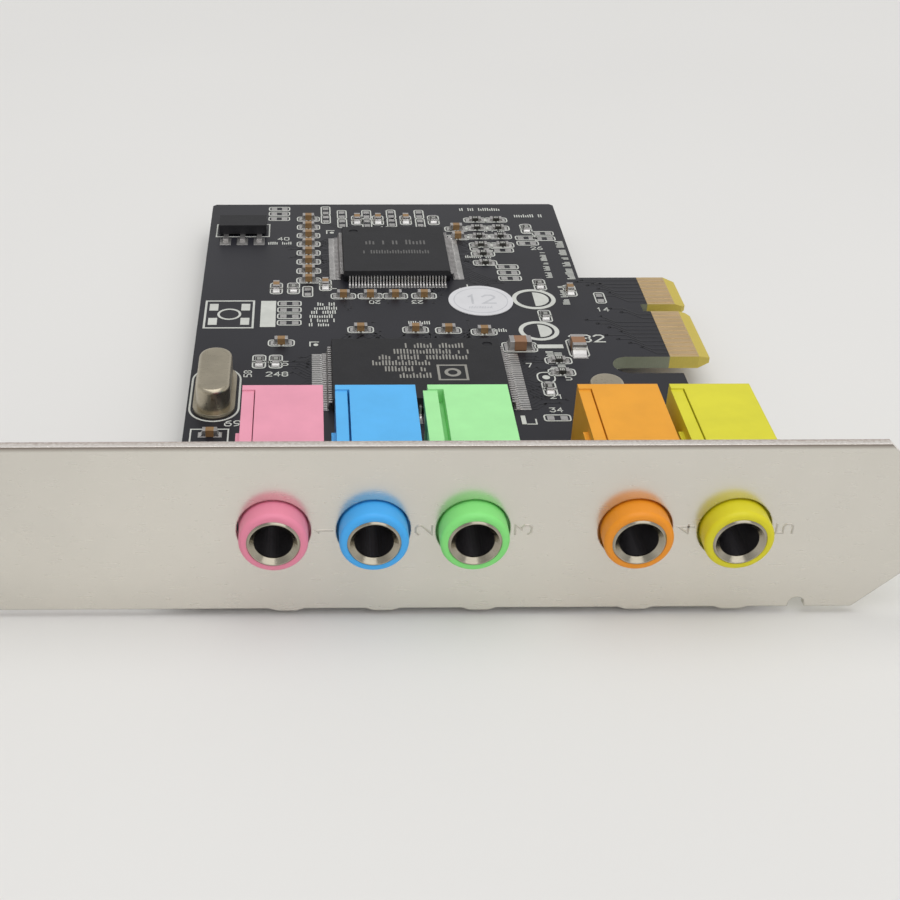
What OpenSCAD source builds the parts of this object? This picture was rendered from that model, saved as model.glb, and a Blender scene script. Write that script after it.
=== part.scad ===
// Sound card with a one-lane edge connector, five colour-coded audio jacks and a
// full-height mounting bracket. It lies component side up, on the long edge of its
// bracket. Millimetres, Z up, X along the bracket, the jacks face -Y. The origin is
// at the middle of the footprint, on the surface that the card lies on.

/* [Bracket] */
// Overall length of the bracket, from the screw tab to the end of the tongue
bracket_length = 120.02; // [117:0.1:124]
// Width of the bracket's blade
bracket_width = 18.42; // [18:0.1:22]
// Thickness of the bracket's sheet steel
sheet = 0.86; // [0.7:0.02:1.1]
// Reach of the screw tab, from the back of the blade
tab_depth = 11.43; // [10:0.1:14]
// Width of the screw tab
tab_width = 21.59; // [20:0.1:25]
// Width of the open screw slot in the tab
screw_slot_w = 4.42; // [3.4:0.1:5]
// Depth of the open screw slot from the tab's side
screw_slot_depth = 5.1; // [4:0.1:6]
// Distance of the screw slot from the blade's outer face
screw_slot_reach = 5.2; // [4.4:0.1:6]
// Inside radius of the bends in the sheet
bend_r = 0.6; // [0.3:0.1:1]
// Corner cuts of the screw tab
tab_corner = 1.6; // [0.5:0.1:3]
// Width of the tongue at the bracket's lower end
tongue_w = 10.19; // [9:0.1:12]
// Length over which the blade narrows and runs out as the tongue
tongue_length = 7.27; // [6.5:0.1:9]
// Corner cuts of the tongue
tongue_corner = 0.7; // [0.3:0.1:1.5]
// Radius of the half-round notch in the blade's lower edge
notch_r = 0.8; // [0.6:0.1:1.6]
// Distance of the half-round notch from the tongue's end
notch_inset = 12.6; // [11.5:0.1:15]
// Height of the five small feet on the blade's lower edge
foot_h = 0.28; // [0.1:0.02:0.5]
// Width of each foot at its root
foot_w = 3.3; // [2:0.1:4]
// Offset of each foot from its jack's axis
foot_offset = 1.1; // [0:0.1:2]
// Diameter of the jack holes in the blade
jack_hole_d = 6.9; // [6.7:0.1:7.4]
// Width of each mounting ear behind the blade
ear_w = 5.6; // [5:0.1:6]
// Reach of the ears' feet over the board, from the blade's back
ear_depth = 8; // [7.4:0.1:10]
// Height of the ears against the blade
ear_height = 9.5; // [6:0.1:12]

/* [Board] */
// Thickness of the circuit board
board_t = 1.57; // [1.3:0.01:1.7]
// Height of the board's underside above the blade's lower edge
board_under = 2.37; // [2.1:0.01:3]
// Width of the board's main part
board_w = 49.1; // [47.5:0.1:54]
// Reach of the board, from the bracket's outer face to its far edge
board_reach = 87.1; // [84:0.1:110]
// Distance of the board's left edge from the first jack's axis
board_side = 10.4; // [10.2:0.1:12]
// Width of the board's near part, below the jacks
board_near_w = 57.4; // [57:0.1:60]
// Gap between the bracket's back and the board's near edge
board_gap = 0.9; // [0.6:0.1:1.2]
// Width of the relief slot beside the edge connector
relief_slot_w = 3.9; // [3:0.1:4.5]
// Depth of the relief slot from the near part's edge
relief_slot_depth = 7.9; // [6:0.1:9]
// Cuts at the board's outer corners
board_corner = 0.5; // [0.2:0.1:2]

/* [Edge connector] */
// Distance of the connector's tip from the board's left edge
finger_reach = 61.54; // [60.5:0.1:64]
// Distance of the connector's near side from the bracket's outer face
finger_start = 41.85; // [41:0.05:44]
// Width of the contact group nearer the bracket
near_group_w = 11.65; // [11.6:0.05:12]
// Width of the key slot
key_w = 1.9; // [1.6:0.1:2.2]
// Width of the contact group farther from the bracket
far_group_w = 7.65; // [7.6:0.05:8]
// Depth of the key slot
key_depth = 5.8; // [5.2:0.1:6.4]
// Pitch of the contacts
pad_pitch = 1; // [0.95:0.01:1]
// Width of each contact
pad_w = 0.7; // [0.5:0.05:0.75]
// Length of each contact
pad_length = 3.4; // [3:0.1:4]
// Thickness of the contacts' plating
pad_t = 0.05; // [0.03:0.01:0.1]
// Length of the bevel on the connector's tip
bevel_length = 1.4; // [0.8:0.1:1.8]
// Depth of the bevel on each face
bevel_depth = 0.45; // [0.3:0.01:0.55]

/* [Jacks] */
// Distance of the last jack's axis from the end of the tongue
last_jack = 19.92; // [19.5:0.02:20.4]
// Gap between the housings of jacks that stand side by side
jack_space = 1.2; // [1.1:0.1:1.5]
// Gap between a mounting ear and the housings beside it
ear_space = 0.7; // [0.5:0.1:1]
// Height of the jacks' axes above the board
jack_axis = 5.25; // [5:0.05:6.4]
// Width of a jack's housing
housing_w = 8; // [7.9:0.1:8.4]
// Offset of the housing's middle from the jack's axis
housing_offset = 0.7; // [0.5:0.05:0.7]
// Height of a jack's housing
housing_h = 11; // [10.6:0.1:12.5]
// Reach of the housing, from the bracket's outer face to its back
housing_reach = 16.7; // [15.6:0.1:18]
// Wall of the housing round its contact chamber
housing_wall = 0.85; // [0.7:0.05:0.9]
// Width of the stepped shoulder along the housing's left side
shoulder_w = 1.2; // [0.8:0.1:1.6]
// Depth of the stepped shoulder
shoulder_drop = 0.15; // [0.1:0.05:0.6]
// Length of the lip that closes the housing's back
lip = 0.9; // [0.6:0.1:1.5]
// Depth of the spring slot in the housing's top
spring_slot_depth = 1.6; // [0.8:0.1:2]
// Diameter of the coloured barrel that passes through the bracket
barrel_d = 6.4; // [6.2:0.1:6.5]
// Reach of the barrel past the bracket's outer face
barrel_reach = 2.1; // [1.4:0.1:3]
// Radius of the barrel's rounded rim
rim_r = 0.45; // [0.2:0.05:0.6]
// Outside diameter of the plated bushing
bushing_d = 4.95; // [4.7:0.05:5]
// Reach of the bushing past the barrel's rim
bushing_reach = 0.15; // [0.05:0.01:0.5]
// Length of the bushing
bushing_length = 6.9; // [6:0.1:7.5]
// Bore of the jack, for a 3.5 mm plug
jack_bore_d = 3.6; // [3.55:0.01:3.7]
// Width of the countersink at the bore's mouth
mouth_w = 0.45; // [0.2:0.05:0.5]
// Thickness of the contact springs
spring_t = 0.25; // [0.2:0.01:0.3]
// Height of the contact springs' blades
spring_h = 1.8; // [1.2:0.1:2.4]
// Width of the solder pins
pin_w = 0.8; // [0.6:0.05:0.9]
// Length of the solder pins below the board
pin_below = 1.4; // [1:0.1:1.8]
// Diameter of the plated holes for the solder pins
pin_hole_d = 1.2; // [1.1:0.05:1.4]

/* [Chips] */
// Length of the audio chip's body, along the bracket
audio_chip_w = 20; // [19.6:0.1:20.6]
// Depth of the audio chip's body
audio_chip_d = 14; // [13.6:0.1:14.4]
// Height of the audio chip's body
audio_chip_h = 1.75; // [1.4:0.05:2.4]
// Pitch of the audio chip's leads
audio_pitch = 0.5; // [0.48:0.01:0.5]
// Width of the bridge chip's square body
bridge_chip_w = 14; // [13.6:0.1:14.4]
// Height of the bridge chip's body
bridge_chip_h = 1.4; // [1.2:0.05:2]
// Pitch of the bridge chip's leads
bridge_pitch = 0.4; // [0.38:0.01:0.41]
// Gap between the chips' bodies and the board
chip_standoff = 0.12; // [0.08:0.01:0.2]
// Reach of the chips' leads from their bodies
lead_reach = 1; // [0.8:0.05:1.2]
// Thickness of the chips' leads
lead_t = 0.15; // [0.12:0.01:0.2]

/* [Crystals] */
// Length of a crystal's can
can_length = 10.2; // [9.8:0.1:10.6]
// Width of a crystal's can
can_w = 3.8; // [3.5:0.1:4]
// Height of a crystal's can above its base
can_h = 2.9; // [2.5:0.1:4]
// Radius of the can's top edge
can_round = 0.5; // [0.2:0.05:0.8]
// Width of the flange round the can's foot
flange = 0.45; // [0.3:0.05:0.6]
// Thickness of the crystal's base
base_t = 0.5; // [0.4:0.05:0.7]
// Pitch of the crystal's two leads
crystal_lead_pitch = 4.88; // [4.7:0.01:5.1]
// Diameter of the crystal's leads
crystal_lead_d = 0.43; // [0.4:0.01:0.5]

/* [Small parts] */
// Length of a small chip component
chip_part_l = 1.6; // [1.4:0.1:1.8]
// Width of a small chip component
chip_part_w = 0.8; // [0.7:0.05:1]
// Height of a ceramic chip capacitor
capacitor_h = 0.8; // [0.6:0.05:1]
// Height of a chip resistor
resistor_h = 0.45; // [0.4:0.05:0.6]
// Length of a large chip capacitor
large_part_l = 2.6; // [2:0.1:3]
// Width of a large chip capacitor
large_part_w = 1.6; // [1.2:0.1:1.8]
// Height of a large chip capacitor
large_part_h = 1.2; // [1:0.1:1.6]
// Width of the regulator's body
regulator_w = 6.5; // [6:0.1:6.8]
// Depth of the regulator's body
regulator_d = 3.5; // [3.2:0.1:3.8]
// Height of the regulator's body
regulator_h = 1.6; // [1.4:0.05:1.8]
// Width of the regulator's heat tab
regulator_tab_w = 3; // [2.6:0.1:3.4]
// Pitch of the regulator's leads
regulator_pitch = 2.3; // [2.1:0.1:2.4]
// Width of the regulator's leads
regulator_lead_w = 0.7; // [0.6:0.05:0.9]
// Reach of the regulator's leads and tab from its body
regulator_reach = 1.75; // [1.4:0.05:2]
// Thickness of the regulator's leads and tab
regulator_lead_t = 0.3; // [0.2:0.02:0.4]
// Diameter of the round label
label_d = 8.2; // [7:0.1:8.6]
// Thickness of the round label
label_t = 0.1; // [0.06:0.01:0.2]

/* [Screws] */
// Thread diameter of the bracket screws
screw_d = 2.9; // [2.8:0.05:3]
// Head diameter of the bracket screws
screw_head_d = 5.4; // [5:0.1:5.6]
// Head height of the bracket screws
screw_head_h = 1.7; // [1.4:0.1:2]
// Length of the bracket screws under the head
screw_length = 4; // [3:0.1:5]
// Width of the cross recess in the heads
recess_w = 0.7; // [0.5:0.1:1]
// Depth of the cross recess in the heads
recess_depth = 1; // [0.6:0.1:1.2]

/* [Hidden] */
$fn = 64;

// One overrun for every cut, and the clearance of the small fits
cut = 0.5;
clearance = 0.1;

// Heights: the feet stand on the surface, the board lies between its two faces
blade_z = foot_h;
board_z = blade_z + board_under;
board_top = board_z + board_t;
axis_z = board_top + jack_axis;

// Places in the shared frame
tab_out = tab_depth - sheet;
left_end = -bracket_length / 2;
right_end = bracket_length / 2;
face_y = (tab_out - board_reach) / 2;
back_y = face_y + sheet;
jack_pitch = housing_w + jack_space;
jack_gap = housing_w + ear_w + 2 * ear_space;
jack_row = 3 * jack_pitch + jack_gap;
jack_steps = [0, jack_pitch, 2 * jack_pitch, jack_row - jack_pitch, jack_row];
jack_x = [for (step = jack_steps) right_end - last_jack - jack_row + step];
board_x = jack_x[0] - board_side;
board_y = back_y + board_gap;
finger_y = face_y + finger_start;
key_y = finger_y + near_group_w;
far_group_y = key_y + key_w;
finger_end_y = far_group_y + far_group_w;
finger_tip = board_x + finger_reach;

// Bracket: taper, flats of the feet, ears and their screw holes
taper = (bracket_width - tongue_w) / 2;
foot_flat_share = 0.55;
ear_x = [
    jack_x[0] + housing_offset - (housing_w + ear_w) / 2 - ear_space,
    (jack_x[2] + jack_x[3]) / 2 + housing_offset
];
ear_hole_y = back_y + ear_depth - screw_head_d / 2 - clearance;
ear_hole_d = screw_d + clearance;
board_hole_d = screw_d + 5 * clearance;

// Jacks: chamber, spring slots and the places of the five pins of one jack
block_front = sheet + clearance;
chamber_front = bushing_length - barrel_reach - bushing_reach + 2 * clearance;
chamber_back = housing_reach - housing_wall;
housing_left = housing_w / 2 - housing_offset;
housing_right = housing_w / 2 + housing_offset;
chamber_left = housing_left - housing_wall;
chamber_right = housing_right - housing_wall;
chamber_top = jack_bore_d / 2 + housing_wall / 2;
housing_top = housing_h - jack_axis;
groove = 0.2;
slot_widths = [groove / 2, groove, 3 * groove, groove / 2, groove / 2];
slot_leans = [0, 0, 2.5 * groove, 0, 0];
side_catch = 0.45;
side_catch_w = 1.8;
catch_top = 1.2;
catch_reach_share = 0.47;
locating_peg_d = 1.3;
locating_peg_x = jack_axis / 2;
spring_x = chamber_left - spring_t / 2 - clearance;
spring_touch = jack_bore_d / 2 + spring_t / 2;
break_x = spring_x + 2.5 * spring_t;
sleeve_y = (block_front + chamber_front) / 2;
front_pin_y = chamber_front + pin_w;
back_pin_y = chamber_back - pin_w;
pin_places = [
    [0, sleeve_y], [spring_x, front_pin_y], [break_x, back_pin_y],
    [-spring_x, back_pin_y], [0, back_pin_y]
];
pin_sizes = [
    [pin_w, spring_t], [spring_t, pin_w], [spring_t, pin_w], [spring_t, pin_w], [pin_w / 2, spring_t]
];
solder_h = 0.8;
solder_rim = 0.4;
solder_d = pin_hole_d + 2 * solder_rim;

// Chips: counts of leads, drafts and marking dimples
audio_side_count = 38;
audio_end_count = 26;
bridge_count = 32;
chip_draft = 0.12;
lead_w_share = 0.45;
lead_foot_share = 0.5;
lead_knee_share = 0.25;
dimple_d = 1.2;
dimple_depth = 0.1;
dimple_inset = 1.6;

// Centres on the board, as shares of its width and of its reach from the bracket
audio_chip_share = [0.536, 0.416];
bridge_chip_share = [0.515, 0.792];
left_crystal_share = [0.063, 0.385];
right_crystal_share = [0.953, 0.313];
regulator_share = [0.095, 0.896];
label_share = [0.725, 0.648];

// The same for the small parts, each with a 1 where it lies along the board's reach
capacitor_shares = [
    [0.409, 0.560, 0], [0.546, 0.559, 0], [0.628, 0.557, 0], [0.716, 0.552, 0], [0.212, 0.522, 0],
    [0.370, 0.664, 0], [0.440, 0.664, 0], [0.505, 0.664, 0], [0.580, 0.664, 0], [0.965, 0.680, 1],
    [0.280, 0.940, 0], [0.280, 0.908, 0], [0.280, 0.876, 0], [0.280, 0.844, 0], [0.280, 0.812, 0],
    [0.280, 0.780, 0], [0.280, 0.748, 0], [0.280, 0.716, 0], [0.700, 0.900, 0], [0.700, 0.868, 0],
    [0.060, 0.285, 0], [0.324, 0.700, 1], [0.420, 0.935, 1], [0.480, 0.935, 1], [0.560, 0.935, 1], [0.195, 0.690, 1]
];
resistor_shares = [
    [0.760, 0.935, 0], [0.760, 0.903, 0], [0.760, 0.871, 0], [0.760, 0.839, 0], [0.760, 0.807, 0],
    [0.760, 0.775, 0], [0.820, 0.935, 0], [0.820, 0.903, 0], [0.820, 0.871, 0], [0.820, 0.839, 0],
    [0.880, 0.600, 1], [0.880, 0.470, 0], [0.880, 0.438, 0], [0.840, 0.395, 1], [0.240, 0.690, 1],
    [0.200, 0.470, 1], [0.160, 0.470, 1], [0.640, 0.935, 1], [0.890, 0.700, 1], [0.900, 0.900, 1]
];
large_shares = [[0.795, 0.508, 0], [0.936, 0.505, 1]];
end_share = 0.22;
capacitor_size = [chip_part_l, chip_part_w, capacitor_h];
resistor_size = [chip_part_l, chip_part_w, resistor_h];
large_size = [large_part_l, large_part_w, large_part_h];

function board_place(share) = [board_x + share[0] * board_w, face_y + share[1] * board_reach, board_top];

// The blade seen from the front, with its tapered tongue
module blade_outline() {
    shoulder = right_end - tongue_length;
    low = taper;
    high = bracket_width - taper;
    polygon([
        [left_end + sheet + bend_r, 0],
        [shoulder, 0],
        [shoulder + taper, low],
        [right_end - tongue_corner, low],
        [right_end, low + tongue_corner],
        [right_end, high - tongue_corner],
        [right_end - tongue_corner, high],
        [shoulder + taper, high],
        [shoulder, bracket_width],
        [left_end + sheet + bend_r, bracket_width]
    ]);
}

// One of the small feet on the blade's lower edge
module foot_outline() {
    flat = foot_w * foot_flat_share;
    polygon([[-foot_w / 2, 0], [-flat / 2, -foot_h], [flat / 2, -foot_h], [foot_w / 2, 0]]);
}

module blade() {
    translate([0, back_y, blade_z])
        rotate([90, 0, 0])
            linear_extrude(sheet)
                difference() {
                    union() {
                        blade_outline();
                        for (x = jack_x) translate([x + foot_offset, 0]) foot_outline();
                    }
                    translate([right_end - notch_inset, foot_h]) circle(r = notch_r);
                    translate([right_end - notch_inset - notch_r, -cut])
                        square([2 * notch_r, cut + foot_h]);
                }
}

// A quarter of a ring: the section of a bend with its inside radius at the origin
module bend_section() {
    intersection() {
        difference() {
            circle(r = bend_r + sheet);
            circle(r = bend_r);
        }
        square(bend_r + sheet);
    }
}

// The screw tab in its own plane: its reach along X, its width along Y
module tab_outline() {
    reach = tab_out - bend_r;
    slot_x = screw_slot_reach - bend_r;
    slot_y = tab_width - screw_slot_depth + screw_slot_w / 2;
    difference() {
        polygon([
            [0, 0],
            [reach - tab_corner, 0],
            [reach, tab_corner],
            [reach, tab_width - tab_corner],
            [reach - tab_corner, tab_width],
            [tab_corner / 2, tab_width],
            [0, tab_width - tab_corner]
        ]);
        translate([slot_x, slot_y]) circle(d = screw_slot_w);
        translate([slot_x - screw_slot_w / 2, slot_y]) square([screw_slot_w, screw_slot_depth]);
    }
}

module screw_tab() {
    translate([left_end + sheet, face_y - bend_r, blade_z])
        rotate([90, 0, -90])
            linear_extrude(sheet) tab_outline();
    translate([left_end + sheet + bend_r, face_y - bend_r, blade_z])
        mirror([1, 0, 0])
            linear_extrude(bracket_width) bend_section();
}

// A bent ear seen from the side: a flange up the blade's back, a foot on the board
module ear_section() {
    bend = bend_r + sheet;
    translate([0, bend]) square([sheet, ear_height - bend]);
    translate([bend, 0]) square([ear_depth - bend, sheet]);
    translate([bend, bend]) rotate(180) bend_section();
}

module ear() {
    translate([-ear_w / 2, back_y, board_top])
        rotate([90, 0, 90])
            linear_extrude(ear_w) ear_section();
}

module bracket() {
    color("silver")
        difference() {
            union() {
                blade();
                screw_tab();
                for (x = ear_x) translate([x, 0, 0]) ear();
            }
            for (x = jack_x)
                translate([x, face_y - cut, axis_z])
                    rotate([-90, 0, 0]) cylinder(d = jack_hole_d, h = sheet + 2 * cut);
            for (x = ear_x)
                translate([x, ear_hole_y, board_top - cut])
                    cylinder(d = ear_hole_d, h = sheet + 2 * cut);
        }
}

// A pan-head screw that comes up through the board into an ear
module bracket_screw() {
    edge = screw_head_h / 2;
    cylinder(d = screw_d, h = screw_length);
    difference() {
        mirror([0, 0, 1])
            rotate_extrude() {
                square([screw_head_d / 2 - edge, screw_head_h]);
                square([screw_head_d / 2, screw_head_h - edge]);
                translate([screw_head_d / 2 - edge, screw_head_h - edge]) circle(r = edge);
            }
        for (turn = [0, 90])
            rotate([0, 0, turn])
                translate([-screw_head_d / 4, -recess_w / 2, -screw_head_h - cut])
                    cube([screw_head_d / 2, recess_w, recess_depth + cut]);
    }
}

module bracket_screws() {
    color("gray")
        for (x = ear_x) translate([x, ear_hole_y, board_z]) bracket_screw();
}

// The board's outline from its left near corner round to the edge connector
module board_outline() {
    near_x = board_x + board_near_w;
    slot_top = finger_y;
    far_x = board_x + board_w;
    far_y = face_y + board_reach;
    difference() {
        polygon([
            [board_x, board_y],
            [near_x, board_y],
            [near_x, slot_top],
            [finger_tip - bevel_length, slot_top],
            [finger_tip, finger_y + board_corner],
            [finger_tip, key_y - board_corner],
            [finger_tip - board_corner, key_y],
            [finger_tip - key_depth, key_y],
            [finger_tip - key_depth, far_group_y],
            [finger_tip - board_corner, far_group_y],
            [finger_tip, far_group_y + board_corner],
            [finger_tip, finger_end_y - board_corner],
            [finger_tip - bevel_length, finger_end_y],
            [far_x, finger_end_y],
            [far_x, far_y - board_corner],
            [far_x - board_corner, far_y],
            [board_x + board_corner, far_y],
            [board_x, far_y - board_corner]
        ]);
        translate([near_x - relief_slot_depth + relief_slot_w / 2, slot_top - relief_slot_w / 2])
            circle(d = relief_slot_w);
        translate([near_x - relief_slot_depth + relief_slot_w / 2, slot_top - relief_slot_w])
            square([relief_slot_depth, relief_slot_w]);
    }
}

// One wedge of the bevel that leads the connector into its socket
module bevel_wedge() {
    translate([finger_tip, finger_end_y + cut, 0])
        rotate([90, 0, 0])
            linear_extrude(finger_end_y - finger_y + 2 * cut)
                polygon([
                    [-bevel_length, 0], [0, bevel_depth], [cut, bevel_depth],
                    [cut, -cut], [-bevel_length, -cut]
                ]);
}

module board_hole(x, y, d) {
    translate([x, y, board_z - cut]) cylinder(d = d, h = board_t + 2 * cut, $fn = 32);
}

module circuit_board() {
    color("darkslategray")
        difference() {
            translate([0, 0, board_z]) linear_extrude(board_t) board_outline();
            translate([0, 0, board_z]) bevel_wedge();
            translate([0, 0, board_top]) mirror([0, 0, 1]) bevel_wedge();
            for (x = jack_x) {
                for (place = pin_places) board_hole(x + place[0], face_y + place[1], pin_hole_d);
                for (side = [-1, 1])
                    board_hole(x + side * locating_peg_x, face_y + sleeve_y, locating_peg_d + clearance);
            }
            for (x = ear_x) board_hole(x, ear_hole_y, board_hole_d);
            for (share = [left_crystal_share, right_crystal_share], side = [-1, 1])
                board_hole(
                    board_place(share)[0],
                    board_place(share)[1] + side * crystal_lead_pitch / 2,
                    crystal_lead_d + 3 * clearance
                );
        }
}

// One group of contacts on one face of the edge connector
module contact_group(start_y, group_w, z) {
    count = floor((group_w - pad_w / 2) / pad_pitch);
    first = start_y + (group_w - count * pad_pitch + pad_pitch - pad_w) / 2;
    for (index = [0 : count - 1])
        translate([finger_tip - bevel_length - clearance - pad_length, first + index * pad_pitch, z])
            cube([pad_length, pad_w, pad_t]);
}

module edge_contacts() {
    color("goldenrod")
        for (z = [board_top, board_z - pad_t]) {
            contact_group(finger_y, near_group_w, z);
            contact_group(far_group_y, far_group_w, z);
        }
}

// The coloured barrel: a turned shape with a rounded rim, about the jack's axis
module barrel() {
    length = barrel_reach + block_front + cut;
    translate([0, -barrel_reach, 0])
        rotate([-90, 0, 0])
            rotate_extrude() {
                translate([0, rim_r]) square([barrel_d / 2, length - rim_r]);
                square([barrel_d / 2 - rim_r, length]);
                translate([barrel_d / 2 - rim_r, rim_r]) circle(r = rim_r);
            }
}

// The moulded block behind the bracket, with its shoulder, back lip and spring slot. Its
// left wall may lean out at the top.
module housing_block(slot_w, lean) {
    left = -housing_left;
    run = housing_reach - block_front;
    difference() {
        union() {
            translate([left, block_front, -jack_axis]) cube([housing_w, run, housing_h]);
            if (lean > 0)
                translate([0, housing_reach - lip, 0])
                    rotate([90, 0, 0])
                        linear_extrude(run - lip)
                            polygon([[left, 0], [left, housing_top], [left - lean, housing_top]]);
        }
        translate([left - lean - cut, block_front - cut, housing_top - shoulder_drop])
            cube([shoulder_w + lean + cut, run - lip + cut, shoulder_drop + cut]);
        translate([left + shoulder_w - lean / 2, block_front - cut, housing_top - spring_slot_depth])
            cube([slot_w, run - lip + cut, spring_slot_depth + cut]);
    }
    translate([left - side_catch, housing_reach * catch_reach_share, housing_top - catch_top])
        mirror([0, 0, 1]) cube([side_catch, side_catch_w, housing_top - catch_top]);
}

// The bushing's seat, the plug's way, the contact chamber and the sleeve pin's slot
module housing_hollows() {
    seat = bushing_length - bushing_reach;
    plug_way = chamber_back + barrel_reach - spring_t;
    translate([0, -barrel_reach, 0])
        rotate([-90, 0, 0]) {
            translate([0, 0, -cut]) cylinder(d = bushing_d, h = seat + cut);
            cylinder(d = jack_bore_d + clearance, h = plug_way);
        }
    translate([-chamber_left, chamber_front, -jack_axis - cut])
        cube([chamber_left + chamber_right, chamber_back - chamber_front, jack_axis + chamber_top + cut]);
    translate([-pin_w / 2 - clearance, sleeve_y - spring_t / 2 - clearance, -jack_axis - cut])
        cube([pin_w + 2 * clearance, spring_t + 2 * clearance, jack_axis + cut]);
}

module jack_housing(index, shade) {
    color(shade)
        translate([jack_x[index], face_y, axis_z]) {
            difference() {
                union() {
                    barrel();
                    housing_block(slot_widths[index], slot_leans[index]);
                }
                housing_hollows();
            }
            for (side = [-1, 1])
                translate([side * locating_peg_x, sleeve_y, -jack_axis - board_t + clearance])
                    cylinder(d = locating_peg_d, h = board_t - clearance, $fn = 32);
        }
}

// The plated bushing: a turned tube with a countersunk mouth
module jack_bushing(index) {
    bore_r = jack_bore_d / 2;
    outer_r = bushing_d / 2;
    color("lightgray")
        translate([jack_x[index], face_y - barrel_reach - bushing_reach, axis_z])
            rotate([-90, 0, 0])
                rotate_extrude()
                    polygon([
                        [bore_r + mouth_w, 0],
                        [outer_r - bushing_reach, 0],
                        [outer_r, bushing_reach],
                        [outer_r, bushing_length],
                        [bore_r, bushing_length],
                        [bore_r, mouth_w]
                    ]);
}

// A solder pin from a height inside the jack down through the board
module jack_pin(index, top) {
    place = pin_places[index];
    size = pin_sizes[index];
    bottom = -jack_axis - board_t - pin_below;
    translate([place[0] - size[0] / 2, place[1] - size[1] / 2, bottom])
        cube([size[0], size[1], top - bottom]);
}

// A spring strip on the right of the bore: it bows in to the plug and back out
module spring_strip(root_y, bow_y, tip_y) {
    translate([0, 0, -spring_h / 2])
        linear_extrude(spring_h)
            polygon([
                [spring_x - spring_t / 2, root_y],
                [spring_touch - spring_t / 2, bow_y],
                [spring_x - spring_t / 2, tip_y],
                [spring_x + spring_t / 2, tip_y],
                [spring_touch + spring_t / 2, bow_y],
                [spring_x + spring_t / 2, root_y]
            ]);
}

// The five contacts of one jack: sleeve, ring spring and its break, tip spring, stop
module jack_contacts(index) {
    run = back_pin_y - front_pin_y;
    blade_top = spring_h / 2;
    color("gainsboro")
        translate([jack_x[index], face_y, axis_z]) {
            jack_pin(0, -bushing_d / 2);
            jack_pin(1, blade_top);
            spring_strip(front_pin_y, front_pin_y + run / 2, back_pin_y - 2 * pin_w);
            jack_pin(2, blade_top);
            jack_pin(3, blade_top);
            mirror([1, 0, 0]) spring_strip(back_pin_y, back_pin_y - run / 3, front_pin_y);
            jack_pin(4, chamber_top - clearance);
        }
}

// A moulded chip body: sides with draft above and below the leads, and dimples
module chip_side(length, height) {
    polygon([
        [-length / 2 + chip_draft, 0],
        [length / 2 - chip_draft, 0],
        [length / 2, (height - lead_t) / 2],
        [length / 2, (height + lead_t) / 2],
        [length / 2 - chip_draft, height],
        [-length / 2 + chip_draft, height],
        [-length / 2, (height + lead_t) / 2],
        [-length / 2, (height - lead_t) / 2]
    ]);
}

module chip_body(w, d, height, dimple_corners) {
    difference() {
        intersection() {
            rotate([90, 0, 0]) translate([0, 0, -d / 2]) linear_extrude(d) chip_side(w, height);
            rotate([90, 0, 90]) translate([0, 0, -w / 2]) linear_extrude(w) chip_side(d, height);
        }
        for (corner = dimple_corners)
            translate([
                corner[0] * (w / 2 - dimple_inset),
                corner[1] * (d / 2 - dimple_inset),
                height - dimple_depth
            ]) cylinder(d = dimple_d, h = dimple_depth + cut, $fn = 32);
    }
}

// A gull-wing lead from the body's side: knee, slope and foot
module lead_outline(height) {
    knee = lead_reach * lead_knee_share;
    heel = lead_reach * (1 - lead_foot_share);
    middle = chip_standoff + height / 2;
    polygon([
        [0, middle - lead_t / 2],
        [knee, middle - lead_t / 2],
        [heel - lead_t / 2, 0],
        [lead_reach, 0],
        [lead_reach, lead_t],
        [heel + lead_t / 2, lead_t],
        [knee + lead_t, middle + lead_t / 2],
        [0, middle + lead_t / 2]
    ]);
}

module lead_row(count, pitch, height) {
    lead_w = pitch * lead_w_share;
    for (index = [0 : count - 1])
        translate([(index - (count - 1) / 2) * pitch - lead_w / 2, 0, 0])
            rotate([90, 0, 90]) linear_extrude(lead_w) lead_outline(height);
}

module chip_leads(w, d, height, pitch, side_count, end_count) {
    for (turn = [0, 180]) {
        rotate([0, 0, turn]) translate([0, d / 2, 0]) lead_row(side_count, pitch, height);
        rotate([0, 0, turn + 90]) translate([0, w / 2, 0]) lead_row(end_count, pitch, height);
    }
}

module audio_chip_body() {
    color("dimgray")
        translate(board_place(audio_chip_share) + [0, 0, chip_standoff])
            chip_body(audio_chip_w, audio_chip_d, audio_chip_h, [[-1, -1], [1, 1]]);
}

module audio_chip_leads() {
    color("lightgray")
        translate(board_place(audio_chip_share))
            chip_leads(
                audio_chip_w, audio_chip_d, audio_chip_h, audio_pitch, audio_side_count, audio_end_count
            );
}

module bridge_chip_body() {
    color("dimgray")
        translate(board_place(bridge_chip_share) + [0, 0, chip_standoff])
            chip_body(bridge_chip_w, bridge_chip_w, bridge_chip_h, [[-1, 1]]);
}

module bridge_chip_leads() {
    color("lightgray")
        translate(board_place(bridge_chip_share))
            chip_leads(
                bridge_chip_w, bridge_chip_w, bridge_chip_h, bridge_pitch, bridge_count, bridge_count
            );
}

// A slab with round ends, along Y, grown on every side
module slab(grow, height) {
    r = can_w / 2 + grow;
    straight = can_length - can_w;
    for (side = [-1, 1]) translate([0, side * straight / 2, 0]) cylinder(r = r, h = height);
    translate([-r, -straight / 2, 0]) cube([2 * r, straight, height]);
}

// Half of the can's section, from its axis out, with the rounded top edge
module can_section() {
    square([can_w / 2 - can_round, can_h]);
    square([can_w / 2, can_h - can_round]);
    translate([can_w / 2 - can_round, can_h - can_round]) circle(r = can_round);
}

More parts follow.
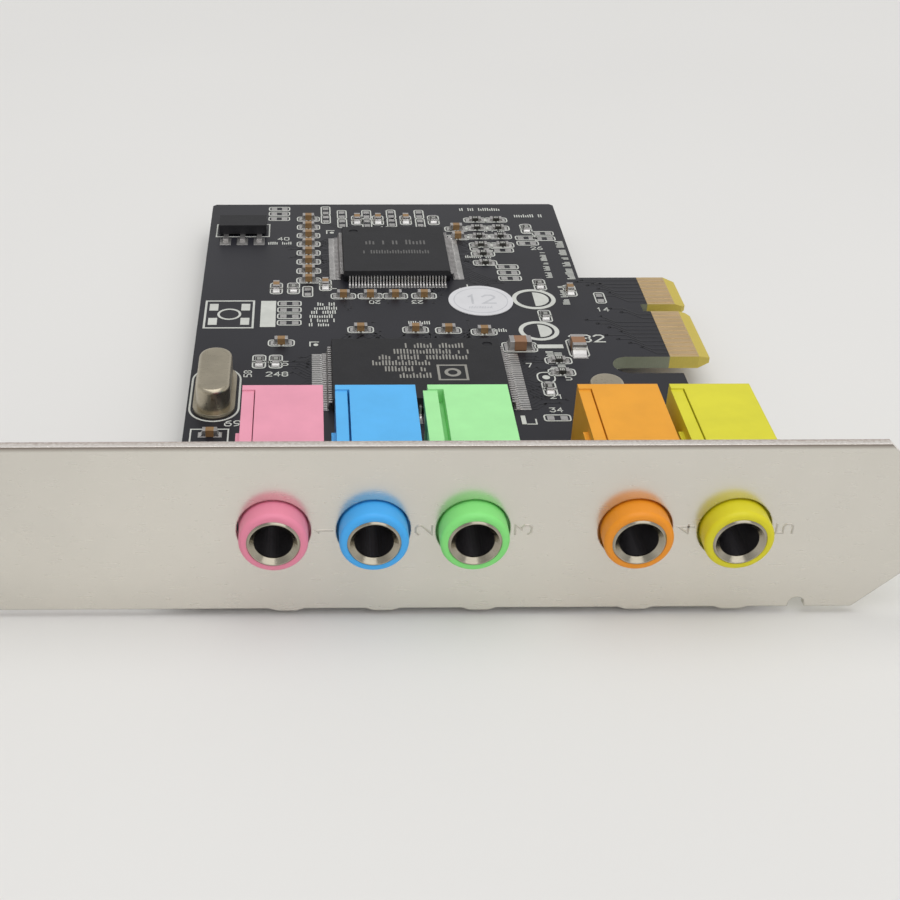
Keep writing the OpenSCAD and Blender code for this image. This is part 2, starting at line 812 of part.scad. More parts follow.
module crystal_can(share) {
    straight = can_length - can_w;
    color("gainsboro")
        translate(board_place(share) + [0, 0, base_t]) {
            for (side = [-1, 1])
                translate([0, side * straight / 2, 0]) rotate_extrude() can_section();
            translate([0, straight / 2, 0])
                rotate([90, 0, 0])
                    linear_extrude(straight) {
                        can_section();
                        mirror([1, 0, 0]) can_section();
                    }
        }
}

module crystal_base(share) {
    lead_length = board_t + pin_below;
    color("silver")
        translate(board_place(share)) {
            slab(flange, base_t);
            for (side = [-1, 1])
                translate([0, side * crystal_lead_pitch / 2, -lead_length])
                    cylinder(d = crystal_lead_d, h = lead_length, $fn = 32);
        }
}

module left_crystal_can() { crystal_can(left_crystal_share); }
module left_crystal_base() { crystal_base(left_crystal_share); }
module right_crystal_can() { crystal_can(right_crystal_share); }
module right_crystal_base() { crystal_base(right_crystal_share); }

module regulator_body() {
    color("dimgray")
        translate(board_place(regulator_share) + [0, 0, regulator_lead_t])
            translate([-regulator_w / 2, -regulator_d / 2, 0])
                cube([regulator_w, regulator_d, regulator_h - regulator_lead_t]);
}

// The regulator's three leads on the near side and its heat tab on the far side
module regulator_leads() {
    reach = regulator_d / 2 + regulator_reach;
    color("lightgray")
        translate(board_place(regulator_share)) {
            for (step = [-1, 0, 1])
                translate([step * regulator_pitch - regulator_lead_w / 2, -reach, 0])
                    cube([regulator_lead_w, reach, regulator_lead_t]);
            translate([-regulator_tab_w / 2, 0, 0]) cube([regulator_tab_w, reach, regulator_lead_t]);
        }
}

// The ceramic or resistive middle of a chip part, along X
module chip_part_middle(size) {
    run = size[0] * (1 - 2 * end_share);
    translate([-run / 2, -size[1] / 2, 0]) cube([run, size[1], size[2]]);
}

// The two plated ends of a chip part
module chip_part_ends(size) {
    run = size[0] * end_share;
    for (side = [0, 1])
        mirror([side, 0, 0])
            translate([size[0] / 2 - run, -size[1] / 2, 0]) cube([run, size[1], size[2]]);
}

// Places each child at one entry of a table of shares, turned as the entry says
module at_shares(shares) {
    for (share = shares) translate(board_place(share)) rotate([0, 0, 90 * share[2]]) children();
}

module ceramic_capacitors() {
    color("tan") at_shares(capacitor_shares) chip_part_middle(capacitor_size);
}

module ceramic_capacitor_ends() {
    color("silver") at_shares(capacitor_shares) chip_part_ends(capacitor_size);
}

module large_capacitors() {
    color("sienna") at_shares(large_shares) chip_part_middle(large_size);
}

module large_capacitor_ends() {
    color("silver") at_shares(large_shares) chip_part_ends(large_size);
}

module chip_resistors() {
    color("black") at_shares(resistor_shares) chip_part_middle(resistor_size);
}

module chip_resistor_ends() {
    color("silver") at_shares(resistor_shares) chip_part_ends(resistor_size);
}

module round_label() {
    color("white") translate(board_place(label_share)) cylinder(d = label_d, h = label_t);
}

// A cone of solder under the board, round a pin of the given size
module solder_joint(size) {
    difference() {
        translate([0, 0, -solder_h])
            cylinder(d1 = max(size) + clearance, d2 = solder_d, h = solder_h, $fn = 32);
        translate([-size[0] / 2, -size[1] / 2, -solder_h - cut]) cube([size[0], size[1], solder_h + 2 * cut]);
    }
}

module round_solder_joint(d) {
    difference() {
        translate([0, 0, -solder_h]) cylinder(d1 = 2 * d, d2 = solder_d, h = solder_h, $fn = 32);
        translate([0, 0, -solder_h - cut]) cylinder(d = d, h = solder_h + 2 * cut, $fn = 32);
    }
}

module solder_joints() {
    color("lightgray") {
        for (x = jack_x, index = [0 : len(pin_places) - 1])
            translate([x + pin_places[index][0], face_y + pin_places[index][1], board_z])
                solder_joint(pin_sizes[index]);
        for (share = [left_crystal_share, right_crystal_share], side = [-1, 1])
            translate([
                board_place(share)[0], board_place(share)[1] + side * crystal_lead_pitch / 2, board_z
            ]) round_solder_joint(crystal_lead_d);
    }
}

module pink_jack_housing() { jack_housing(0, "lightpink"); }
module blue_jack_housing() { jack_housing(1, "deepskyblue"); }
module green_jack_housing() { jack_housing(2, "lightgreen"); }
module orange_jack_housing() { jack_housing(3, "orange"); }
module yellow_jack_housing() { jack_housing(4, "gold"); }

module pink_jack_bushing() { jack_bushing(0); }
module blue_jack_bushing() { jack_bushing(1); }
module green_jack_bushing() { jack_bushing(2); }
module orange_jack_bushing() { jack_bushing(3); }
module yellow_jack_bushing() { jack_bushing(4); }

module pink_jack_contacts() { jack_contacts(0); }
module blue_jack_contacts() { jack_contacts(1); }
module green_jack_contacts() { jack_contacts(2); }
module orange_jack_contacts() { jack_contacts(3); }
module yellow_jack_contacts() { jack_contacts(4); }

bracket();
bracket_screws();
circuit_board();
edge_contacts();
pink_jack_housing();
blue_jack_housing();
green_jack_housing();
orange_jack_housing();
yellow_jack_housing();
pink_jack_bushing();
blue_jack_bushing();
green_jack_bushing();
orange_jack_bushing();
yellow_jack_bushing();
pink_jack_contacts();
blue_jack_contacts();
green_jack_contacts();
orange_jack_contacts();
yellow_jack_contacts();
audio_chip_body();
audio_chip_leads();
bridge_chip_body();
bridge_chip_leads();
left_crystal_can();
left_crystal_base();
right_crystal_can();
right_crystal_base();
regulator_body();
regulator_leads();
ceramic_capacitors();
ceramic_capacitor_ends();
large_capacitors();
large_capacitor_ends();
chip_resistors();
chip_resistor_ends();
round_label();
solder_joints();
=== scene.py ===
"""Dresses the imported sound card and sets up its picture.

The CAD nodes keep their shapes. This script gives each of them its finish, and adds what a
factory etches, prints, solders or stamps on them: copper tracks, vias and lands, the white
print, solder fillets, marking rows on the chips, and stamped numbers on the bracket. Lengths
in the classes are millimetres in the shared frame, and become metres where meshes are made.
"""

import logging
import math
import random
from collections.abc import Iterable, Sequence
from dataclasses import dataclass, field
from enum import Enum

import bmesh
import bpy
from mathutils import Matrix, Vector

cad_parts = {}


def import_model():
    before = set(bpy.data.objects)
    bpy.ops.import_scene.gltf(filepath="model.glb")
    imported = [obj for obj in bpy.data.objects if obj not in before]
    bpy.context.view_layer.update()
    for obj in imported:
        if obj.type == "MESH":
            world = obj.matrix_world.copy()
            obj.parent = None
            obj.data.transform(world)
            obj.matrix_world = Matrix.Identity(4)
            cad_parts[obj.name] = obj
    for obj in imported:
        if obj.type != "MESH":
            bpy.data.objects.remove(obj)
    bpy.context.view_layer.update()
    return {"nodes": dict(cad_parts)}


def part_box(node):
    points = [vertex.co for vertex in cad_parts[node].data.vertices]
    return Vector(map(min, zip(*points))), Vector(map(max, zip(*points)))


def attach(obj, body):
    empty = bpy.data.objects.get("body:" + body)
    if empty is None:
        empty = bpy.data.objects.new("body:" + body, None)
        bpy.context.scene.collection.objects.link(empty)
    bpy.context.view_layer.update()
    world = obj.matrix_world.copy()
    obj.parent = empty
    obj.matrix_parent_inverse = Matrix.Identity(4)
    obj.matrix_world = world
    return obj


MM = 0.001
BODY = "root"
JACKS = ("pink", "blue", "green", "orange", "yellow")
CHIPS = ("audio_chip", "bridge_chip")
CRYSTALS = ("left_crystal", "right_crystal")
LOG = logging.getLogger("sound_card")

Point = tuple[float, float]
Place = tuple[float, float, float]
Colour = tuple[float, float, float]
Node = bpy.types.Node
NodeTree = bpy.types.NodeTree
Socket = bpy.types.NodeSocket
Material = bpy.types.Material
Value = float | Colour | Socket


class Slot(Enum):
    """Names of material slots for the pieces that the script adds."""

    LAMINATE = "black_laminate"
    PRINT = "white_label"
    SOLDER = "solder"
    STEEL = "plated_steel"


class Turn(Enum):
    """Which way a number or a row of marks reads, in degrees from the plane's first axis."""

    ALONG = 0
    UP = 90
    OVER = 180


class Face(Enum):
    """The surfaces that carry printed or stamped work."""

    BOARD_TOP = "board top"
    BOARD_UNDER = "board underside"
    BRACKET = "bracket face"


def linear(red: float, green: float, blue: float) -> Colour:
    """Turns a screen colour into the linear one that shaders work in.

    Args:
        red: Red, from 0 to 255.
        green: Green, from 0 to 255.
        blue: Blue, from 0 to 255.

    Returns:
        The three linear values, from 0 to 1.
    """
    shares = (red / 255, green / 255, blue / 255)
    return tuple(
        share / 12.92 if share <= 0.04045 else ((share + 0.055) / 1.055) ** 2.4 for share in shares
    )


# Shaders


class Sketch:
    """A short way to add shader nodes to a tree and to join them."""

    def __init__(self, tree: NodeTree) -> None:
        """Keeps the tree that nodes are added to."""
        self.tree = tree

    def add(
        self,
        kind: str,
        settings: dict[str, object] | None = None,
        numbered: dict[int, Value] | None = None,
        **inputs: Value,
    ) -> Node:
        """Adds a node.

        Args:
            kind: The node's type, without its leading "ShaderNode".
            settings: The node's own properties.
            numbered: Values or sockets to join, by the input's number.
            **inputs: The same by the input's name, with _ for a space.

        Returns:
            The new node.
        """
        node = self.tree.nodes.new("ShaderNode" + kind)
        for name, value in (settings or {}).items():
            setattr(node, name, value)
        for number, value in (numbered or {}).items():
            self.feed(node.inputs[number], value)
        for name, value in inputs.items():
            self.feed(node.inputs[name.replace("_", " ")], value)
        return node

    def feed(self, socket: Socket, value: Value) -> None:
        """Joins an input to a socket, or sets it.

        Args:
            socket: The input.
            value: The socket to join it to, or its plain value.
        """
        if isinstance(value, Socket):
            self.tree.links.new(value, socket)
        else:
            socket.default_value = (*value, 1) if socket.type == "RGBA" else value

    def math(self, operation: str, first: Value, second: Value = 0.5, clamp: bool = False) -> Socket:
        """Adds a Math node and gives its output."""
        settings = {"operation": operation, "use_clamp": clamp}
        return self.add("Math", settings, {0: first, 1: second}).outputs[0]

    def mix(self, share: Value, first: Value, second: Value, blend: str = "MIX") -> Socket:
        """Adds a colour Mix node and gives its output."""
        settings = {"data_type": "RGBA", "blend_type": blend}
        return self.add("Mix", settings, {0: share, 6: first, 7: second}).outputs[2]

    def span(self, value: Value, low: float, high: float, *ends: float) -> Socket:
        """Maps low..high to 0..1, or to the two ends given, and holds it there."""
        to_low, to_high = ends or (0.0, 1.0)
        return self.add("MapRange", numbered={0: value, 1: low, 2: high, 3: to_low, 4: to_high}).outputs[0]

    def place(self, tree: NodeTree, **inputs: Value) -> Node:
        """Places a shader node group in this tree."""
        return self.add("Group", {"node_tree": tree}, **inputs)

    def spot(self) -> Socket:
        """The shaded point's place on the object, in metres."""
        return self.add("TexCoord").outputs["Object"]

    def split(self, vector: Socket) -> Sequence[Socket]:
        """The three parts of a vector."""
        return self.add("SeparateXYZ", Vector=vector).outputs

    def level(self) -> Socket:
        """How level the surface lies: 1 where it faces straight up or down."""
        return self.math("ABSOLUTE", self.split(self.add("NewGeometry").outputs["Normal"])[2])

    def over(self, place: Socket, limit: float) -> Socket:
        """1 where a place lies past a limit in millimetres, and 0 elsewhere."""
        return self.math("GREATER_THAN", place, limit * MM)

    def under(self, place: Socket, limit: float) -> Socket:
        """1 where a place lies short of a limit in millimetres, and 0 elsewhere."""
        return self.math("LESS_THAN", place, limit * MM)

    def noise(self, place: Socket, scale: Value, detail: float, roughness: float = 0.5) -> Socket:
        """Adds noise about 0.5 and gives its value."""
        node = self.add("TexNoise", Vector=place, Scale=scale, Detail=detail, Roughness=roughness)
        return node.outputs[0]

    def bump(self, strength: float, depth: float, height: Socket, normal: Socket | None) -> Socket:
        """Bends a normal, or the surface's own if it is None, by a height over a depth."""
        over = {} if normal is None else {"Normal": normal}
        return self.add("Bump", Strength=strength, Distance=depth * MM, Height=height, **over).outputs[0]


def new_group(
    name: str, inputs: dict[str, str], outputs: dict[str, str]
) -> tuple[Sketch, Sequence[Socket], Sequence[Socket]]:
    """Makes an empty shader node group.

    Args:
        name: The group's name.
        inputs: Socket type by input name.
        outputs: Socket type by output name.

    Returns:
        A sketch of the group's tree, the sockets that it is given and those that it puts out.
    """
    tree = bpy.data.node_groups.new(name, "ShaderNodeTree")
    for way, sockets in (("INPUT", inputs), ("OUTPUT", outputs)):
        for socket_name, kind in sockets.items():
            tree.interface.new_socket(socket_name, in_out=way, socket_type="NodeSocket" + kind)
    given, out = tree.nodes.new("NodeGroupInput"), tree.nodes.new("NodeGroupOutput")
    return Sketch(tree), given.outputs, out.inputs


class Effects:
    """The effects that several finishes share, each a node group that is built once."""

    def __init__(self) -> None:
        """Builds the groups."""
        self.grain = self._grain()
        self.drift = self._drift()
        self.edges = self._edges()
        self.lines = self._lines()
        self.specks = self._specks()

    @staticmethod
    def _grain() -> NodeTree:
        """Makes fine even grain, as on moulded plastic or etched plating.

        Returns:
            The group.
        """
        inputs = {"Scale": "Float", "Contrast": "Float"}
        sketch, given, out = new_group("fine_grain", inputs, {"Value": "Float"})
        centred = sketch.math("SUBTRACT", sketch.noise(sketch.spot(), given["Scale"], 3.0, 0.6), 0.5)
        scaled = sketch.math("MULTIPLY", centred, given["Contrast"])
        sketch.feed(out["Value"], sketch.math("ADD", scaled, 0.5, clamp=True))
        return sketch.tree

    @staticmethod
    def _drift() -> NodeTree:
        """Makes slow changes of shade over a surface.

        Returns:
            The group.
        """
        inputs = {"Color": "Color", "Shade": "Color", "Scale": "Float"}
        sketch, given, out = new_group("colour_drift", inputs, {"Color": "Color"})
        share = sketch.span(sketch.noise(sketch.spot(), given["Scale"], 4.0, 0.55), 0.35, 0.65)
        sketch.feed(out["Color"], sketch.mix(share, given["Color"], given["Shade"]))
        return sketch.tree

    @staticmethod
    def _edges() -> NodeTree:
        """Makes softened corners, and a mask of where they are rubbed.

        Returns:
            The group.
        """
        sketch, given, out = new_group(
            "rubbed_edges", {"Radius": "Float"}, {"Mask": "Float", "Normal": "Vector"}
        )
        bevel = sketch.add("Bevel", {"samples": 4}, Radius=given["Radius"]).outputs[0]
        flat = sketch.add("NewGeometry").outputs["Normal"]
        turned = sketch.add("VectorMath", {"operation": "DOT_PRODUCT"}, {0: bevel, 1: flat}).outputs["Value"]
        patches = sketch.span(sketch.noise(sketch.spot(), 900.0, 3.0), 0.35, 0.6)
        bent = sketch.span(turned, 0.995, 0.86)
        sketch.feed(out["Mask"], sketch.math("MULTIPLY", bent, patches))
        sketch.feed(out["Normal"], bevel)
        return sketch.tree

    @staticmethod
    def _lines() -> NodeTree:
        """Makes drawn-out lines along X, as rolling or brushing leaves on metal.

        Returns:
            The group.
        """
        inputs = {"Scale": "Float", "Stretch": "Float"}
        sketch, given, out = new_group("rolling_lines", inputs, {"Value": "Float"})
        across = given["Scale"]
        along = sketch.math("DIVIDE", across, given["Stretch"])
        scale = sketch.add("CombineXYZ", X=along, Y=across, Z=across).outputs[0]
        stretched = sketch.add("VectorMath", {"operation": "MULTIPLY"}, {0: sketch.spot(), 1: scale})
        sketch.feed(out["Value"], sketch.noise(stretched.outputs[0], 1.0, 3.0, 0.6))
        return sketch.tree

    @staticmethod
    def _specks() -> NodeTree:
        """Makes scattered small specks, in two cells out of five.

        Returns:
            The group.
        """
        sketch, given, out = new_group("specks", {"Scale": "Float", "Size": "Float"}, {"Mask": "Float"})
        cells = sketch.add("TexVoronoi", Vector=sketch.spot(), Scale=given["Scale"]).outputs
        near = sketch.math("LESS_THAN", cells["Distance"], given["Size"])
        lot = sketch.add("SeparateColor", Color=cells["Color"]).outputs[0]
        sketch.feed(out["Mask"], sketch.math("MULTIPLY", near, sketch.math("GREATER_THAN", lot, 0.6)))
        return sketch.tree


@dataclass(frozen=True)
class Finish:
    """A finish: what one kind of surface is made of and how it looks.

    Attributes:
        name: The material's name.
        colour: Its main colour, linear.
        roughness: Its mean roughness.
        spread: How far the roughness goes to either side of its mean.
        shade: What the main colour drifts to, as a share of it.
        drift_scale: Fineness of that drift.
        corner: Radius of the softened corners.
        grain_scale: Fineness of the grain.
        grain_contrast: How strongly the grain varies.
        grain_depth: How deep it is.
        grain_strength: How much of that depth shows.
        specular: The shader's specular level.
        metallic: The shader's metallic value.
    """

    name: str
    colour: Colour
    roughness: float
    spread: float = 0.05
    shade: float = 0.88
    drift_scale: float = 500.0
    corner: float = 0.1
    grain_scale: float = 10000.0
    grain_contrast: float = 1.0
    grain_depth: float = 0.01
    grain_strength: float = 0.15
    specular: float = 0.5
    metallic: float = 0.0

    def build(self, effects: Effects) -> Material:
        """Builds the material.

        Args:
            effects: The shared effects.

        Returns:
            The material.
        """
        material = bpy.data.materials.new(self.name)
        material.use_nodes = True
        shader = material.node_tree.nodes["Principled BSDF"]
        sketch = Sketch(material.node_tree)
        levels = {"Specular IOR Level": self.specular, "Metallic": self.metallic}
        for name, value in (levels | self.looks(sketch, effects)).items():
            sketch.feed(shader.inputs[name], value)
        return material

    def looks(self, sketch: Sketch, effects: Effects) -> dict[str, Value]:
        """Lays out what varies over the surface: here a plain coat's drift and grain.

        Args:
            sketch: A sketch of the material's tree.
            effects: The shared effects.

        Returns:
            Values by the name of the shader's input.
        """
        grain, normal = self.grained(sketch, effects)
        colour, rough = self.drifting(sketch, effects), self.roughened(sketch, grain)
        return {"Base Color": colour, "Roughness": rough, "Normal": normal}

    def darker(self, share: float) -> Colour:
        """The main colour times share."""
        return tuple(share * value for value in self.colour)

    def lighter(self, share: float, lift: float = 0.0) -> Colour:
        """The main colour times share, plus lift, up to 1."""
        return tuple(min(1.0, share * value + lift) for value in self.colour)

    def drifting(self, sketch: Sketch, effects: Effects) -> Socket:
        """The main colour as it drifts towards its shade."""
        ends = {"Color": self.colour, "Shade": self.darker(self.shade)}
        return sketch.place(effects.drift, Scale=self.drift_scale, **ends).outputs[0]

    def softened(self, sketch: Sketch, effects: Effects) -> tuple[Socket, Socket]:
        """A mask of the rubbed corners, and the normal that softens them."""
        edges = sketch.place(effects.edges, Radius=self.corner * MM).outputs
        return edges["Mask"], edges["Normal"]

    def grained(
        self, sketch: Sketch, effects: Effects, normal: Socket | None = None
    ) -> tuple[Socket, Socket]:
        """The grain's value, and the normal as the grain bends it."""
        grain = sketch.place(effects.grain, Scale=self.grain_scale, Contrast=self.grain_contrast).outputs[0]
        return grain, sketch.bump(self.grain_strength, self.grain_depth, grain, normal)

    def roughened(self, sketch: Sketch, value: Socket, low: float = 0.0, high: float = 1.0) -> Socket:
        """The roughness, from its least where value is low to its greatest where it is high."""
        return sketch.span(value, low, high, self.roughness - self.spread, self.roughness + self.spread)


@dataclass(frozen=True)
class PlainCoat(Finish):
    """Ink, mask over copper, paper or fired ceramic: drift of shade and fine grain."""

    grain_depth: float = 0.008
    specular: float = 0.35


@dataclass(frozen=True)
class MouldedPlastic(Finish):
    """Coloured moulded plastic: slight drift of shade, fine grain, softened edges.

    Attributes:
        shaded_barrel: Painted shade: a deeper colour on the barrel that stands out of the bracket, standing
            in for the deeper shade it takes in the light.
        barrel_from: Place where the barrel starts, along Y.
        rub: How much of the rubbed corners' lighter colour shows.
    """

    spread: float = 0.06
    shade: float = 0.93
    drift_scale: float = 260.0
    corner: float = 0.12
    grain_scale: float = 1000 / 0.12
    grain_strength: float = 0.12
    specular: float = 0.4
    shaded_barrel: Colour = (0.5, 0.5, 0.5)
    barrel_from: float = -37.6
    rub: float = 0.5

    def looks(self, sketch: Sketch, effects: Effects) -> dict[str, Value]:
        """Lays out the barrel's painted shade, the rubbed corners and the grain.

        Args:
            sketch: A sketch of the material's tree.
            effects: The shared effects.

        Returns:
            Values by the name of the shader's input.
        """
        worn, soft = self.softened(sketch, effects)
        grain, normal = self.grained(sketch, effects, soft)
        # Painted shade: ahead of barrel_from, the same moulding takes the barrel's deeper colour.
        ahead = sketch.under(sketch.split(sketch.spot())[1], self.barrel_from)
        body = sketch.mix(ahead, self.drifting(sketch, effects), self.shaded_barrel)
        colour = sketch.mix(sketch.math("MULTIPLY", worn, self.rub), body, self.lighter(1.18, 0.02))
        return {"Base Color": colour, "Roughness": self.roughened(sketch, grain), "Normal": normal}


@dataclass(frozen=True)
class PlatedMetal(Finish):
    """Plated metal: fine drawn lines, tarnish that drifts, brighter edges.

    Attributes:
        line_size: Size of the drawn lines.
        stretch: How drawn out they are.
        turned: Distance between the turning marks of a turned bore, or 0 for none.
        turned_from: Place where the turning marks start, along Y.
        mark_depth: Depth of the turning marks, as a share of their distance.
        bore_shade: Painted shade: a dark colour for the turned bore, where little light reaches.
        bore_polish: How much less rough the bore is.
    """

    spread: float = 0.08
    shade: float = 0.85
    drift_scale: float = 420.0
    corner: float = 0.06
    metallic: float = 1.0
    line_size: float = 0.08
    stretch: float = 6.0
    turned: float = 0.0
    turned_from: float = -39.9
    mark_depth: float = 0.3
    bore_shade: Colour = (0.03, 0.028, 0.03)
    bore_polish: float = 0.1

    def looks(self, sketch: Sketch, effects: Effects) -> dict[str, Value]:
        """Lays out the drawn lines, the bright edges and the turned bore with its painted shade, if it has
        one.

        Args:
            sketch: A sketch of the material's tree.
            effects: The shared effects.

        Returns:
            Values by the name of the shader's input.
        """
        worn, normal = self.softened(sketch, effects)
        fineness = 1 / (self.line_size * MM)
        lines = sketch.place(effects.lines, Scale=fineness, Stretch=self.stretch).outputs[0]
        rough = self.roughened(sketch, lines, 0.3, 0.7)
        colour = sketch.mix(worn, self.drifting(sketch, effects), self.lighter(1.12))
        if self.turned:
            along = sketch.split(sketch.spot())[1]
            inside = sketch.over(along, self.turned_from)
            wave = sketch.math("SINE", sketch.math("MULTIPLY", along, 2 * math.pi / (self.turned * MM)))
            marks = sketch.math("MULTIPLY", wave, inside)
            normal = sketch.bump(1.0, self.mark_depth * self.turned, marks, normal)
            # Painted shade: past turned_from, the metal is painted nearly black, where little light reaches
            # into the bore.
            colour = sketch.mix(inside, colour, self.bore_shade)
            rough = sketch.math("SUBTRACT", rough, sketch.math("MULTIPLY", inside, self.bore_polish))
        return {"Base Color": colour, "Roughness": rough, "Normal": normal}


@dataclass(frozen=True)
class SheetSteel(Finish):
    """The bracket's plated sheet: matt faces with rolling lines, and sheared edges of bare metal with a
    painted highlight towards their front corner.

    Attributes:
        lit_edge_colour: Colour of the sheared edges' bare metal, with a painted highlight of their rolled
            front corner.
        pit_colour: Colour of the small pits in them.
        shade_line_colour: Colour of the painted shade line on the face, just under the upper edge's rolled
            corner.
        back: Place of the sheet's back along Y.
        front: Place of its face along Y.
        ears_from: Where the ears start behind the blade, along Y.
        top: Height of the blade's upper edge.
        shade_line: How far under that edge the painted shade line starts and ends.
    """

    spread: float = 0.025
    shade: float = 0.93
    drift_scale: float = 45.0
    corner: float = 0.17
    grain_scale: float = 7000.0
    grain_contrast: float = 1.2
    grain_depth: float = 0.012
    grain_strength: float = 0.1
    metallic: float = 0.85
    lit_edge_colour: Colour = linear(252, 246, 240)
    pit_colour: Colour = linear(198, 182, 172)
    shade_line_colour: Colour = linear(118, 106, 96)
    back: float = -37.5
    front: float = -38.1
    ears_from: float = -37.38
    top: float = 18.7
    shade_line: Point = (0.55, 0.1)

    def looks(self, sketch: Sketch, effects: Effects) -> dict[str, Value]:
        """Lays out the rolled faces, the sheared edges with their painted highlight, and the painted shade
        line under the upper one.

        Args:
            sketch: A sketch of the material's tree.
            effects: The shared effects.

        Returns:
            Values by the name of the shader's input.
        """
        normal = self.grained(sketch, effects, self.softened(sketch, effects)[1])[1]
        _, y, z = sketch.split(sketch.spot())
        level = sketch.math("GREATER_THAN", sketch.level(), 0.7)
        sheared = sketch.math("MULTIPLY", level, sketch.under(y, self.ears_from))
        lines = sketch.place(effects.lines, Scale=5200.0, Stretch=14.0).outputs[0]
        streaks = sketch.span(lines, 0.35, 0.7, 0.0, 0.05)
        rolled = sketch.mix(streaks, self.drifting(sketch, effects), self.darker(0.88))
        pits = sketch.place(effects.grain, Scale=3600.0, Contrast=1.5).outputs[0]
        # Painted highlight: the sheared edge runs from pit colour at the back to the lit edge colour at the
        # front, where its rolled corner catches the light. The bare cut metal and its pits are real.
        bright = sketch.span(y, self.back * MM, self.front * MM, -0.1, 0.6)
        bright = sketch.math("ADD", bright, pits, clamp=True)
        colour = sketch.mix(sheared, rolled, sketch.mix(bright, self.pit_colour, self.lit_edge_colour))
        # Painted shade: a dark line on the face just under the upper edge's rolled corner, kept off the
        # sheared faces.
        low, high = ((self.top - drop) * MM for drop in self.shade_line)
        shade_line = sketch.span(z, low, high, 0.0, 0.85)
        shade_line = sketch.math("MULTIPLY", shade_line, sketch.math("SUBTRACT", 1.0, sheared))
        colour = sketch.mix(shade_line, colour, self.shade_line_colour)
        return {"Base Color": colour, "Roughness": self.roughened(sketch, lines, 0.3, 0.7), "Normal": normal}


@dataclass(frozen=True)
class SolderMask(Finish):
    """The circuit board: solder mask on its faces, bare laminate on edges and finger.

    Attributes:
        laminate: Colour of the cut laminate along the board's edges.
        tip_laminate: Colour of the cut laminate round the edge connector.
        gap_laminate: Colour of the bare laminate between the contacts.
        fibre: What the glass fibres' lines multiply the laminate's colour by.
        bare_from: Where the mask ends on the edge connector, along X.
        bevel_from: Where the connector's bevel starts, along X.
        finger_from: Where the connector's near side lies, along Y.
        bare_roughness: Roughness of bare laminate.
    """

    shade: float = 1.25
    drift_scale: float = 90.0
    grain_scale: float = 1600.0
    grain_strength: float = 0.1
    specular: float = 0.26
    laminate: Colour = linear(136, 140, 122)
    tip_laminate: Colour = linear(203, 184, 88)
    gap_laminate: Colour = linear(186, 162, 120)
    fibre: Colour = (0.66, 0.66, 0.62)
    bare_from: float = 43.74
    bevel_from: float = 47.23
    finger_from: float = 3.385
    bare_roughness: float = 0.6

    def looks(self, sketch: Sketch, effects: Effects) -> dict[str, Value]:
        """Lays out the mask, the bare finger and the cut edges.

        Args:
            sketch: A sketch of the material's tree.
            effects: The shared effects.

        Returns:
            Values by the name of the shader's input.
        """
        x, y, _ = sketch.split(sketch.spot())
        side = sketch.math("LESS_THAN", sketch.level(), 0.8)
        tip = sketch.math("MULTIPLY", sketch.over(x, self.bare_from), sketch.over(y, self.finger_from))
        bare = sketch.math("MAXIMUM", side, tip)
        cut = sketch.math("MAXIMUM", side, sketch.over(x, self.bevel_from))
        finger = sketch.mix(cut, self.gap_laminate, self.tip_laminate)
        weave = sketch.place(effects.lines, Scale=2600.0, Stretch=0.12).outputs[0]
        share = sketch.span(weave, 0.4, 0.65, 0.0, 0.3)
        laminate = sketch.mix(share, sketch.mix(tip, self.laminate, finger), self.fibre, "MULTIPLY")
        colour = sketch.mix(bare, self.drifting(sketch, effects), laminate)
        rough = sketch.span(bare, 0.0, 1.0, self.roughness, self.bare_roughness)
        return {"Base Color": colour, "Roughness": rough, "Normal": self.grained(sketch, effects)[1]}


@dataclass(frozen=True)
class ChipMould(Finish):
    """Black moulding compound: a matt, faintly speckled face with softened edges.

    Attributes:
        speck_light: How light the specks are, as a share of the colour.
        speck_share: How much of the specks shows.
    """

    spread: float = 0.06
    shade: float = 1.25
    drift_scale: float = 300.0
    corner: float = 0.08
    grain_scale: float = 9000.0
    grain_depth: float = 0.012
    grain_strength: float = 0.3
    specular: float = 0.28
    speck_light: float = 2.6
    speck_share: float = 0.35

    def looks(self, sketch: Sketch, effects: Effects) -> dict[str, Value]:
        """Lays out the specks, the grain and the softened edges.

        Args:
            sketch: A sketch of the material's tree.
            effects: The shared effects.

        Returns:
            Values by the name of the shader's input.
        """
        grain, normal = self.grained(sketch, effects, self.softened(sketch, effects)[1])
        specks = sketch.place(effects.specks, Scale=4200.0, Size=0.3).outputs[0]
        share = sketch.math("MULTIPLY", specks, self.speck_share)
        colour = sketch.mix(share, self.drifting(sketch, effects), self.darker(self.speck_light))
        return {"Base Color": colour, "Roughness": self.roughened(sketch, grain), "Normal": normal}


@dataclass(frozen=True)
class StudioPaper(Finish):
    """The floor's pale paper, with slow changes of shade and no grain."""

    shade: float = 0.97
    specular: float = 0.2

    def looks(self, sketch: Sketch, effects: Effects) -> dict[str, Value]:
        """Lays out the paper's changes of shade.

        Args:
            sketch: A sketch of the material's tree.
            effects: The shared effects, of which it uses none.

        Returns:
            Values by the name of the shader's input.
        """
        share = sketch.span(sketch.noise(sketch.spot(), 9.0, 2.0), 0.3, 0.7)
        colour = sketch.mix(share, self.colour, self.darker(self.shade))
        return {"Base Color": colour, "Roughness": self.roughness}


WHITE_INK = PlainCoat("white_print", linear(206, 208, 202), 0.55)
GREY_INK = PlainCoat("grey_marking", linear(150, 148, 142), 0.6)
FAINT_INK = PlainCoat("faint_marking", linear(104, 103, 102), 0.6)
LABEL_INK = PlainCoat("label_print", linear(196, 197, 201), 0.7)
MASKED_COPPER = PlainCoat("masked_copper", linear(34, 34, 38), 0.3, shade=1.2, specular=0.28)
SOLDER = PlatedMetal("bright_solder", (0.60, 0.59, 0.58), 0.38, shade=0.8)
# Painted shade: the stamped numbers' steel is a little darker than the bracket's, standing in for the shade
# along their relief.
SHADED_STAMP_STEEL = SheetSteel("stamped_number", linear(214, 209, 199), 0.305)
